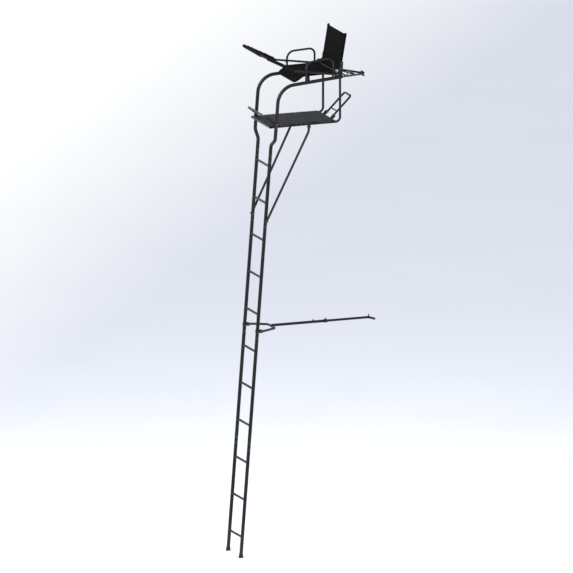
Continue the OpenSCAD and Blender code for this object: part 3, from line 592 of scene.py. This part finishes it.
def lock_screws():
    """Wing-headed screws that pinch the stabilizer's sliding tube."""
    pile = Pile()
    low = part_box("stabilizer_lock_screws")[0]
    wing = [(0, 4), (6, 6.4), (13, 8.4), (16.5, 10.2), (17.5, 12)]
    for y, lift in ((541, 0.0), (683, 4 * MM)):         # the second one stands on the collar
        foot = Vector((0, DATUM.y + y * MM, low.z))
        pile.lathe(foot, Z_AXIS, [(3.95 * MM, 0), (3.95 * MM, 12 * MM)], 20)
        washer = foot + Z_AXIS * (2.2 * MM + lift)
        pile.lathe(washer, Z_AXIS, [(7.6 * MM, 0), (8 * MM, 0.5 * MM), (8 * MM, 1.4 * MM),
                                    (7.2 * MM, 1.8 * MM)], 32)
        hexagon_head(pile, washer + Z_AXIS * 1.8 * MM, Z_AXIS, 7.6 * MM, 5.2 * MM, 0.2)
        for turn in SIDES:
            path = [washer + Vector((turn * a, 0, b)) * MM for a, b in wing]
            pile.sweep(path, lambda i: circle((2.6 + 0.5 * i) * MM, 12, 0.42))
    hardware(pile, "stabilizer_wing_screws", "stabilizer_lock_screws", "stabilizer")


# ---- Rubber and plastic caps ----

def foot_caps():
    """Ribbed rubber feet, flared at the ground and cut level there."""
    pile = Pile()
    profile = [(15, -3), (24.5, -3), (26, -1), (26, 6.5), (25.2, 8.4), (23.6, 9.4)]
    for rib in range(4):
        low = 13 + rib * 6.5
        profile += [(22.6, low - 1.8), (22.6, low), (23.8, low + 0.9), (23.8, low + 2.6),
                    (22.6, low + 3.5)]
    profile += [(22.9, 40), (22.2, 41.6), (20.4, 42), (19.2, 41.2), (19.2, 36)]
    for side in SIDES:
        pile.lathe(on_ladder(side * LADDER_HALF, 0), UP_LADDER,
                   [(r * MM, h * MM) for r, h in profile], 56)
    for p in pile.points:
        p.z = max(p.z, 0.0)
    pile.piece("rubber_feet", rubber, "stand", "black_rubber", ["foot_caps"])


def domed_cap(pile, end, axis, r, rim, height):
    """A pressed-in plug: a rim that covers the tube's wall and a low dome."""
    dome = [(r + rim, 0), (r + rim + 0.2 * MM, 0.8 * MM)]
    for k in range(1, 6):
        a = k / 5 * math.pi / 2
        dome.append(((r + rim) * math.cos(a * 0.93), 0.8 * MM + (height - 0.8 * MM) * math.sin(a)))
    pile.lathe(end, axis, [(r * 0.85, -8 * MM), (r * 0.88, -0.2 * MM)] + dome, 36)


def end_plugs():
    rails, posts = Pile(), Pile()
    for side in SIDES:
        domed_cap(rails, seat_rail_point(RAIL_END_Y, side), rail_heading(side).normalized(),
                  LADDER_R, 0.0, 4 * MM)
        top = at(POST_X * side, post_y(962), 962)
        domed_cap(posts, top, BACK_UP, LIGHT_R, 0.8 * MM, 5.2 * MM)
    rails.piece("seat_rail_plugs", rubber, "stand", "black_rubber", ["rail_end_caps"])
    posts.piece("backrest_post_plugs", rubber, "stand", "black_rubber", ["backrest_post_caps"])


# ---- Expanded floor ----

STRAND_W, STRAND_T = 6.2 * MM, 2.2 * MM
STRAND_TILT = math.radians(30)
CELL_X, CELL_Y = 48 * MM, 20 * MM
BOND = 5 * MM            # half length of the stretch where two strands stay joined
FLOOR_MARGIN = 34 * MM   # the plain strip that is left along each side of the sheet
FLOOR_Z = DATUM.z + FRAME_R
FLOOR_RISE = 2 * STRAND_W * math.sin(STRAND_TILT) + STRAND_T * math.cos(STRAND_TILT)


def flat_section(width, thickness):
    corners = ((-1, -1), (1, -1), (1, 1), (-1, 1))
    return [(a * width / 2, b * thickness / 2) for a, b in corners]


def sheet_half(y):
    """The sheet's half width at y in the frame: its edge lies on the side tube."""
    return (side_half((y - DATUM.y) / MM) - 3) * MM


def expanded_floor():
    """Expanded sheet: tilted strands that run across in zigzags and join at their corners,
    with a plain strip along each side."""
    pile = Pile()
    low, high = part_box("platform_floor")
    row_gap = CELL_Y / 2
    reach = row_gap / 2 - STRAND_W / 2 * math.cos(STRAND_TILT)
    step = STRAND_W / 2 * math.sin(STRAND_TILT)
    rows = int((high.y - low.y - STRAND_W) / row_gap)
    middle_z = FLOOR_Z + FLOOR_RISE / 2
    cos_t, sin_t = math.cos(STRAND_TILT), math.sin(STRAND_TILT)
    corners = flat_section(STRAND_W, STRAND_T)
    for k in range(rows + 1):
        y0 = low.y + STRAND_W / 2 + row_gap * k
        limit = sheet_half(y0)
        columns = int(limit / (CELL_X / 2)) + 2
        line = []
        for j in range(-columns, columns + 1):
            sign = 1 if (j + k) % 2 == 0 else -1
            for x in (j * CELL_X / 2 - BOND, j * CELL_X / 2 + BOND):
                line.append((x, y0 + sign * reach, middle_z - sign * step))
        line = clipped(line, limit)
        rings = [[Vector((x, y + a * cos_t - b * sin_t, z + a * sin_t + b * cos_t))
                  for a, b in corners] for x, y, z in line]
        pile.rings(rings)
    for side in SIDES:
        edge = [Vector((side * (sheet_half(y) - FLOOR_MARGIN / 2), y, FLOOR_Z + STRAND_T / 2))
                for y in (low.y, high.y)]
        pile.sweep(edge, flat_section(FLOOR_MARGIN, STRAND_T), Z_AXIS)
    pile.piece("expanded_floor", tread, "stand", "expanded_steel_floor", ["platform_floor"])


def clipped(line, limit):
    """The part of a line between x = -limit and x = limit, with its ends on those limits."""
    kept = []
    for p, q in zip(line, line[1:]):
        for edge in (-limit, limit):
            if (p[0] - edge) * (q[0] - edge) < 0:
                share = (edge - p[0]) / (q[0] - p[0])
                kept.append(tuple(a + (b - a) * share for a, b in zip(p, q)))
        if abs(q[0]) < limit:
            kept.append(q)
    return sorted(kept)


# ---- Cloth ----

CLOTH_T = 1.3 * MM
WRAP_R = LIGHT_R + 1.0 * MM       # the cloth's middle, from the middle of the tube that it wraps
SIM_FRAMES = 24


def simulate(points, faces, pins, frames=SIM_FRAMES, pull=None, pressure=0.0, shrink=0.0,
             stiff=18.0):
    """Runs Blender's cloth on a mesh held at its pins, and returns where its points settle."""
    scene = bpy.context.scene
    mesh = bpy.data.meshes.new("cloth_trial")
    mesh.from_pydata([tuple(p) for p in points], [], faces)
    trial = bpy.data.objects.new("cloth_trial", mesh)
    scene.collection.objects.link(trial)
    held = trial.vertex_groups.new(name="held")
    held.add(list(pins), 1.0, "REPLACE")
    cloth = trial.modifiers.new("cloth", "CLOTH")
    cloth.settings.vertex_group_mass = "held"
    cloth.settings.quality = 6
    cloth.settings.mass = 0.25
    cloth.settings.tension_stiffness = stiff
    cloth.settings.compression_stiffness = stiff
    cloth.settings.shear_stiffness = stiff * 0.4
    cloth.settings.bending_stiffness = 0.4
    cloth.settings.shrink_min = shrink
    cloth.collision_settings.use_collision = False
    if pressure:
        cloth.settings.use_pressure = True
        cloth.settings.uniform_pressure_force = pressure
        cloth.settings.effector_weights.gravity = 0.0
    gravity = scene.gravity.copy()
    if pull is not None:
        scene.gravity = pull
    cloth.point_cache.frame_start = 1
    cloth.point_cache.frame_end = frames
    for number in range(1, frames + 1):
        scene.frame_set(number)
    shown = trial.evaluated_get(bpy.context.evaluated_depsgraph_get())
    settled = [Vector(v.co) for v in shown.data.vertices]
    scene.gravity = gravity
    scene.frame_set(1)
    bpy.data.objects.remove(trial)
    return settled


def cell(i, j, count, start=0):
    """The corners of one cell in a grid that has count points to a row."""
    first = start + i * count + j
    return [first, first + 1, first + count + 1, first + count]


def spread(low, high, steps):
    return [low + (high - low) * k / steps for k in range(steps + 1)]


class Sling:
    """A panel of cloth stretched between two side tubes.

    centre(s) and normal(s) give the side tubes' height line and the panel's face at a distance
    s from its first edge; half(s) is the half width. sag is how far the cloth may settle."""

    GRID_X, GRID_S = 30, 30

    def __init__(self, length, centre, normal, half, pull, sag, load):
        self.length, self.centre, self.normal, self.half = length, centre, normal, half
        self.drop = self.settle(pull, sag, load)

    def flat(self, s, x):
        return self.centre(s) + X_AXIS * x + self.normal(s) * WRAP_R

    def settle(self, pull, sag, load):
        """How far the cloth moves along its normal, on a grid."""
        nx, ns = self.GRID_X, self.GRID_S
        lines = spread(0.0, self.length, ns)
        points = [self.flat(s, self.half(s) * (2 * j / nx - 1)) for s in lines
                  for j in range(nx + 1)]
        drop = np.zeros((ns + 1, nx + 1))
        faces = [cell(i, j, nx + 1) for i in range(ns) for j in range(nx)]
        pins = [i * (nx + 1) + j for i in range(ns + 1) for j in range(nx + 1)
                if j in (0, nx) or i in (0, ns)]
        settled = simulate(points, faces, pins, pull=pull * load)
        for k, (p, q) in enumerate(zip(points, settled)):
            i, j = divmod(k, nx + 1)
            drop[i, j] = -(q - p).dot(self.normal(lines[i]))
        return np.clip(drop, 0.0, None) * (sag / max(drop.max(), 1e-6))

    def on(self, s, x):
        """The settled cloth's point at a distance s along and x across."""
        nx, ns = self.GRID_X, self.GRID_S
        i = min(max(s / self.length, 0.0), 1.0) * ns
        j = min(max((x / self.half(s) + 1) / 2, 0.0), 1.0) * nx
        i0, j0 = min(int(i), ns - 1), min(int(j), nx - 1)
        a, b = i - i0, j - j0
        d = self.drop
        down = ((d[i0, j0] * (1 - b) + d[i0, j0 + 1] * b) * (1 - a)
                + (d[i0 + 1, j0] * (1 - b) + d[i0 + 1, j0 + 1] * b) * a)
        return self.flat(s, x) - self.normal(s) * down


def perforated(pile, sling, s_lines, x_lines, holes, hole_r):
    """The panel's cloth on crossing lines. holes tells which 2 by 2 cells carry a hole."""
    count = len(x_lines[0])
    grid = [[sling.on(s, x) for x in row] for s, row in zip(s_lines, x_lines)]
    cuts = [[(x, s) for x in row] for s, row in zip(s_lines, x_lines)]
    start = pile.add([p for row in grid for p in row], [], [c for row in cuts for c in row])
    done = set()
    for i, j in holes:
        si, xj = s_lines[i + 1], x_lines[i + 1][j + 1]
        rim = [(0, 0), (0, 1), (0, 2), (1, 2), (2, 2), (2, 1), (2, 0), (1, 0)]
        ring, ring_cuts = [], []
        for a, b in rim:
            turn = math.atan2(a - 1, b - 1)
            s, x = si + hole_r * math.sin(turn), xj + hole_r * math.cos(turn)
            ring.append(sling.on(s, x))
            ring_cuts.append((x, s))
        first = pile.add(ring, [], ring_cuts)
        outer = [start + (i + a) * count + j + b for a, b in rim]
        for k in range(8):
            n = (k + 1) % 8
            pile.faces.append([outer[k], outer[n], first + n, first + k])
        done.update(((i, j), (i + 1, j), (i, j + 1), (i + 1, j + 1)))
    for i in range(len(s_lines) - 1):
        for j in range(count - 1):
            if (i, j) not in done:
                pile.faces.append(cell(i, j, count, start))


def pocket(pile, route, turn_to=200, tuck=26 * MM, steps=9):
    """Cloth wrapped round a tube: route is a list of (tube centre, panel normal, outward)."""
    rings, cuts, run = [], [], 0.0
    for k, (p, normal, out) in enumerate(route):
        if k:
            run += (p - route[k - 1][0]).length
        ring = []
        for n in range(steps + 1):
            a = math.radians(turn_to) * n / steps
            ring.append(p + (normal * math.cos(a) + out * math.sin(a)) * WRAP_R)
        ring.append(p - out * tuck * 0.62 - normal * WRAP_R * 0.30)
        ring.append(p - out * tuck + normal * (WRAP_R - 2.4 * MM))
        rings.append(ring)
        cuts += [(0.3 + n * 4 * MM, run) for n in range(len(ring))]
    pile.rings(rings, round_them=False, caps=False, cuts=cuts)


def tape(pile, path, lifts, width, thick=1.0 * MM):
    """Binding tape with rolled edges, laid along a path on the cloth."""
    section = [(a * width / 2, b * thick) for a, b in
               ((-1, 0.1), (-0.96, 0.75), (-0.5, 0.9), (0.5, 0.9), (0.96, 0.75), (1, 0.1))]
    pile.sweep([p + n * CLOTH_T / 2 for p, n in zip(path, lifts)], section, lifts)


STITCH, STITCH_GAP, THREAD_R = 3.2 * MM, 5.0 * MM, 0.42 * MM


def stitches(pile, path, lifts, side_shift, height):
    """A row of separate stitches beside a path."""
    run, due = 0.0, STITCH_GAP / 2
    for k in range(len(path) - 1):
        span = path[k + 1] - path[k]
        while due < run + span.length:
            ahead = span.normalized()
            side = lifts[k].cross(ahead).normalized()
            middle = path[k] + ahead * (due - run) + side * side_shift + lifts[k] * height
            bow = [(-0.5, -0.9), (-0.28, 0.1), (0.28, 0.1), (0.5, -0.9)]
            pile.sweep([middle + ahead * STITCH * a + lifts[k] * THREAD_R * b for a, b in bow],
                       circle(THREAD_R, 6), lifts[k])
            due += STITCH_GAP
        run += span.length


def trimmed(name, body, runs):
    """Binding tape with two rows of stitches on each run of (path, lifts, width)."""
    trim, thread = Pile(), Pile()
    for path, lifts, width in runs:
        tape(trim, path, lifts, width)
        for shift in (-0.40, 0.40):
            stitches(thread, path, lifts, width * shift, CLOTH_T / 2 + 1.1 * MM)
    trim.piece(name + "_binding", binding, body, "mesh_fabric")
    thread.piece(name + "_stitching", thread_finish, body, "mesh_fabric")


def bent_profile(points, radius, steps=10):
    """Points of a side profile, as (y, z) in mm, with its middle corner rounded."""
    a, b, c = (Vector((0, *p)) for p in points)
    u, v = (b - a).normalized(), (c - b).normalized()
    turn = u.angle(v)
    back = radius * math.tan(turn / 2)
    out = [a]
    for k in range(steps + 1):
        t = k / steps
        p = (b - u * back).lerp(b, t)
        q = b.lerp(b + v * back, t)
        out.append(p.lerp(q, t))
    return out + [c]


SEAT_HALF, SEAT_CORNER_R = 247 * MM, 40 * MM
SEAT_LINE = bent_profile([(690, 540.5), (330, 535), (236, 474)], 70)
SEAT_RUNS = [0.0]
for first_point, next_point in zip(SEAT_LINE, SEAT_LINE[1:]):
    SEAT_RUNS.append(SEAT_RUNS[-1] + (next_point - first_point).length * MM)
SEAT_LENGTH = SEAT_RUNS[-1]


def seat_centre(s):
    """The seat's side line at a distance s from the rear hem."""
    s = min(max(s, 0.0), SEAT_LENGTH)
    k = max(i for i in range(len(SEAT_RUNS) - 1) if SEAT_RUNS[i] <= s + 1e-9)
    share = (s - SEAT_RUNS[k]) / (SEAT_RUNS[k + 1] - SEAT_RUNS[k])
    p = SEAT_LINE[k].lerp(SEAT_LINE[k + 1], share)
    return at(0, p.y, p.z)


def seat_normal(s):
    near, far = seat_centre(s - 6 * MM), seat_centre(s + 6 * MM)
    heading = (far - near).normalized()
    return heading.cross(X_AXIS).normalized() * (1 if heading.cross(X_AXIS).z > 0 else -1)


def seat_half_width(s):
    into = s - (SEAT_LENGTH - SEAT_CORNER_R)
    if into <= 0:
        return SEAT_HALF
    into = min(into, SEAT_CORNER_R)
    return SEAT_HALF - SEAT_CORNER_R + math.sqrt(SEAT_CORNER_R ** 2 - into ** 2)


def seat_sling():
    sling = Sling(SEAT_LENGTH, seat_centre, seat_normal, seat_half_width,
                  Vector((0, 0, -9.81)), 9 * MM, 1.0)
    pitch, hole_r, margin = 8 * MM, 1.9 * MM, 200 * MM
    first_hole = 34 * MM
    rows = int((SEAT_LENGTH - SEAT_CORNER_R - 6 * MM - first_hole) / pitch)
    s_lines = [first_hole * k / 4 for k in range(4)]
    s_lines += [first_hole + pitch / 2 * k for k in range(2 * rows + 1)]
    corner = SEAT_LENGTH - SEAT_CORNER_R
    s_lines += [corner + SEAT_CORNER_R * math.sin(math.radians(a)) for a in range(0, 91, 10)]
    columns = int(2 * margin / (pitch / 2))
    core = [-margin + pitch / 2 * k for k in range(columns + 1)]
    x_lines = []
    for s in s_lines:
        edge = seat_half_width(s)
        band = [margin + (edge - margin) * k / 4 for k in range(1, 5)]
        x_lines.append([-x for x in reversed(band)] + core + band)
    holes = [(4 + 2 * r, 4 + 2 * c) for r in range(rows) for c in range(columns // 2)]
    cloth = Pile()
    perforated(cloth, sling, s_lines, x_lines, holes, hole_r)

    route = []
    for s in s_lines:
        x, normal = seat_half_width(s), seat_normal(s)
        into = max(s - corner, 0.0) / SEAT_CORNER_R
        turn = math.asin(min(into, 1.0))
        heading = (seat_centre(s + MM) - seat_centre(s - MM)).normalized()
        out = X_AXIS * math.cos(turn) + heading * math.sin(turn)
        route.append((seat_centre(s) + X_AXIS * x, normal, out))
    left = [(mirrored(p), n, mirrored(o)) for p, n, o in route]
    front = [(route[-1][0].lerp(left[-1][0], k / 12), route[-1][1], route[-1][2])
             for k in range(1, 12)]
    pocket(cloth, route + front + left[::-1])
    piece = cloth.piece("seat_sling", mesh_cloth, "seat", "mesh_fabric", ["seat_mesh"], 60)
    thicken(piece, CLOTH_T)

    side_x, hem_s, front_s = 222 * MM, 12 * MM, SEAT_LENGTH - 22 * MM
    steps, runs = 60, []
    places = spread(0.0, SEAT_LENGTH - 30 * MM, steps)
    for sign in SIDES:
        runs.append(([sling.on(s, sign * side_x) for s in places],
                     [seat_normal(s) for s in places], 22 * MM))
    for s, edge, width in ((hem_s, 244 * MM, 22 * MM), (front_s, 212 * MM, 20 * MM)):
        runs.append(([sling.on(s, x) for x in spread(-edge, edge, steps)],
                     [seat_normal(s)] * (steps + 1), width))
    trimmed("seat", "seat", runs)


BACK_LOW, BACK_HIGH = 524, 956
BACK_HALF = POST_X * MM


def back_centre(s):
    return at(0, post_y(BACK_LOW), BACK_LOW) + BACK_UP * s


def back_normal(_s):
    return Vector((0, -math.cos(BACK_LEAN), math.sin(BACK_LEAN)))


def back_sling():
    length = (BACK_HIGH - BACK_LOW) * MM / math.cos(BACK_LEAN)
    sling = Sling(length, back_centre, back_normal, lambda s: BACK_HALF,
                  -back_normal(0) * 9.81, 7 * MM, 1.0)
    cloth = Pile()
    steps_s, steps_x = 56, 64
    s_lines = spread(0.0, length, steps_s)
    x_lines = [spread(-BACK_HALF, BACK_HALF, steps_x)] * (steps_s + 1)
    perforated(cloth, sling, s_lines, x_lines, [], 0.0)
    for sign in SIDES:
        out = X_AXIS * sign
        route = [(back_centre(s) + out * BACK_HALF, back_normal(s), out) for s in s_lines]
        pocket(cloth, route if sign > 0 else route[::-1])
    piece = cloth.piece("backrest_sling", back_cloth, "stand", "mesh_fabric",
                        ["backrest_mesh"], 60)
    thicken(piece, CLOTH_T)

    steps, edge = 50, 262 * MM
    lifts = [back_normal(0)] * (steps + 1)
    runs = [([sling.on(s, sign * 228 * MM) for s in spread(0.0, length, steps)], lifts, 20 * MM)
            for sign in SIDES]
    runs += [([sling.on(s, x) for x in spread(-edge, edge, steps)], lifts, 22 * MM)
             for s in (12 * MM, length - 12 * MM)]
    trimmed("backrest", "stand", runs)


# ---- Padding ----

PAD_R = 18.2 * MM
PAD_SIDES = 28
TIE_GAP = 150 * MM


def pad_radius(s, length):
    """The sleeve's radius before it is blown up: cinched at its ends and at each tie."""
    end = min(s, length - s)
    r = PAD_R - (PAD_R - LIGHT_R - 0.8 * MM) * max(0.0, 1 - end / (13 * MM)) ** 2
    ties = round(length / TIE_GAP)
    off = abs((s / length * ties + 0.5) % 1.0 - 0.5) * length / ties
    return r - 0.8 * MM * math.exp(-(off / (5 * MM)) ** 2)


def foam_pad(name, start, end, seam):
    """A stitched sleeve over foam. seam is the direction that its seam faces."""
    axis = (end - start).normalized()
    length = (end - start).length
    side = axis.cross(seam).normalized()
    rows = int(length / (6 * MM))
    places = spread(0.0, length, rows)
    points = [start + axis * s + (seam * math.cos(a) + side * math.sin(a)) * pad_radius(s, length)
              for s in places for a in (TAU * j / PAD_SIDES for j in range(PAD_SIDES))]
    faces = [[i * PAD_SIDES + j, i * PAD_SIDES + (j + 1) % PAD_SIDES,
              (i + 1) * PAD_SIDES + (j + 1) % PAD_SIDES, (i + 1) * PAD_SIDES + j]
             for i in range(rows) for j in range(PAD_SIDES)]
    ties = round(length / TIE_GAP)
    tie_rows = {round(rows * k / ties) for k in range(ties + 1)} | {1, 2, rows - 1, rows - 2}
    pins = [i * PAD_SIDES + j for i in range(rows + 1) for j in range(PAD_SIDES)
            if i in tie_rows or j == 0]
    settled = simulate(points, faces, pins, frames=20, pressure=3.0, shrink=-0.03, stiff=8.0)
    cap = 1.6 * MM
    for k, (p, q) in enumerate(zip(points, settled)):
        move = q - p
        points[k] = p + move * min(1.0, cap / max(move.length, 1e-9))
    pile = Pile()
    cuts = [(PAD_R * TAU * j / PAD_SIDES, s) for s in places for j in range(PAD_SIDES)]
    pile.add(points, faces, cuts)
    piece = pile.piece(name, pad_cloth, "shooting_rail", "foam_padding", (), 70)
    smooth = piece.modifiers.new("smooth", "SUBSURF")
    smooth.levels = smooth.render_levels = 1
    thread = Pile()
    line = [start + axis * s + seam * (pad_radius(s, length) + 0.5 * MM) for s in places[2:-2]]
    lifts = [seam] * len(line)
    for shift in (-3.0 * MM, 3.0 * MM):
        stitches(thread, line, lifts, shift, 0.2 * MM)
    thread.sweep(line, circle(1.1 * MM, 8, 0.7), seam)
    thread.piece(name + "_seam", thread_finish, "shooting_rail", "foam_padding")
    return piece


def foam_pads():
    """One sleeve on the rail's cross bar and one on each arm, their seams facing down."""
    corner, bend = Vector((311, -155, 795)), Vector((311, 230, 600))
    along = (bend - corner).normalized()
    pads = [foam_pad("rail_pad_front", at(-261, -155, 795), at(261, -155, 795),
                     Vector((0, 0.5, -0.866)))]
    for name, side in (("rail_pad_left", -1), ("rail_pad_right", 1)):
        a, b = corner + along * 52, bend - along * 28
        start, end = at(a.x * side, a.y, a.z), at(b.x * side, b.y, b.z)
        axis = (end - start).normalized()
        seam = (axis * axis.z - Z_AXIS).normalized()
        pads.append(foam_pad(name, start, end, seam))
    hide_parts("shooting_rail_pads")


# ---- Finishes on the CAD nodes that stay ----

def finish_cad_nodes():
    slots = {row["node"]: row["material_slot"] for row in frame["record"]["subparts"]}
    for name, node in frame["nodes"].items():
        kind = slots[name]
        finish = {"black_rubber": rubber, "zinc_black_fastener": zinc}.get(kind, coat)
        if name in ("section_1_rails", "section_1_rungs"):
            finish = low_coat
        node.data.materials.clear()
        node.data.materials.append(finish)
        for polygon in node.data.polygons:
            polygon.material_index = 0


# ---- Stage ----

# where the floor's painted glow starts and where it reaches full strength
GLOW_FROM, GLOW_TO = 5.3, 9.1     # metres towards the front left corner of the stage


def pale_floor():
    """A pale floor with a painted glow: emission that brightens it softly towards the stage's front
    left corner.
    """
    g = Graph("pale_floor")
    tone = g.noise(0.7, 2.0)
    colour = g.blend(tone, (0.82, 0.835, 0.88, 1), (0.86, 0.87, 0.91, 1))
    forward = g.math("MULTIPLY", g.part(g.place, 1), -0.781)
    leftward = g.math("MULTIPLY", g.part(g.place, 0), -0.624)
    # painted glow: emission that lightens the floor towards its front left corner, standing in for
    # a pool of light there
    painted_glow = g.span(g.math("ADD", forward, leftward), GLOW_FROM, GLOW_TO, 0.0, 0.32)
    g.put(g.shader.inputs["Emission Color"], (1.0, 0.92, 0.62, 1))
    g.put(g.shader.inputs["Emission Strength"], painted_glow)
    material = g.finish(colour, g.span(g.noise(4, 2.0), 0.3, 0.7, 0.75, 0.85),
                        Specular_IOR_Level=0.1)
    mesh = bpy.data.meshes.new("stage_floor")
    size = 60
    mesh.from_pydata([(-size, -size, 0), (size, -size, 0), (size, size, 0), (-size, size, 0)],
                     [], [(0, 1, 2, 3)])
    mesh.materials.append(material)
    floor = bpy.data.objects.new("stage_floor", mesh)
    bpy.context.scene.collection.objects.link(floor)


def aimed(name, data, place, heading):
    """A lamp or camera at a place, looking along a heading."""
    made = bpy.data.objects.new(name, data)
    made.location = place
    made.rotation_euler = heading.to_track_quat("-Z", "Y").to_euler()
    bpy.context.scene.collection.objects.link(made)
    return made


def soft_light(name, place, target, size, power, colour):
    data = bpy.data.lights.new(name, "AREA")
    data.shape, data.size, data.size_y = "RECTANGLE", size, size * 1.6
    data.energy, data.color = power, colour
    aimed(name, data, Vector(place), Vector(target) - Vector(place))


def studio():
    world = bpy.data.worlds.new("studio")
    world.use_nodes = True
    sky = world.node_tree.nodes["Background"]
    sky.inputs["Color"].default_value = (0.90, 0.93, 1.0, 1)
    sky.inputs["Strength"].default_value = 0.90
    bpy.context.scene.world = world
    soft_light("key", (5.0, -6.0, 8.5), (0, 0, 3.2), 2.0, 800, (1.0, 0.98, 0.95))
    soft_light("fill", (1.5, 7.0, 4.5), (0, 0, 3.2), 1.6, 300, (0.93, 0.96, 1.0))
    soft_light("rim", (-5.5, -2.5, 6.5), (0, 0, 3.5), 2.0, 90, (0.96, 0.98, 1.0))


def camera():
    """A parallel view from the right, a little to the front and a little above."""
    azimuth, elevation = math.radians(69.07), math.radians(12.7)
    back = Vector((math.sin(azimuth) * math.cos(elevation),
                   -math.cos(azimuth) * math.cos(elevation), math.sin(elevation)))
    right = Vector((math.cos(azimuth), math.sin(azimuth), 0))
    up = back.cross(right)
    centre = DATUM + right * 0.219 - up * 1.766
    data = bpy.data.cameras.new("camera")
    data.type = "ORTHO"
    data.ortho_scale = 6.148
    data.clip_end = 200
    bpy.context.scene.camera = aimed("camera", data, centre + back * 11, -back)


camera()
studio()
pale_floor()
bpy.context.scene.view_settings.view_transform = "Standard"

coat = powder_coat("powder_coat")
low_coat = powder_coat("powder_coat_low", low_dirt=True)
tread = worn_tread("worn_tread")
zinc = dark_zinc("dark_zinc")
disc_zinc = bright_zinc("bright_zinc")
rubber = moulded_rubber("moulded_rubber")
mesh_cloth = woven("seat_weave", 1.3 * MM)
back_cloth = woven("backrest_weave", 1.3 * MM)
binding = woven("binding_weave", 0.9 * MM, 0.006, 0.65)
thread_finish = woven("thread", 0.5 * MM, 0.03, 0.5)
pad_cloth = woven("pad_cloth", 0.8 * MM, 0.007, 0.7)

finish_cad_nodes()
weld_beads()
fasteners()
seat_discs()
rail_pivots()
lock_screws()
foot_caps()
end_plugs()
expanded_floor()
seat_sling()
back_sling()
foam_pads()
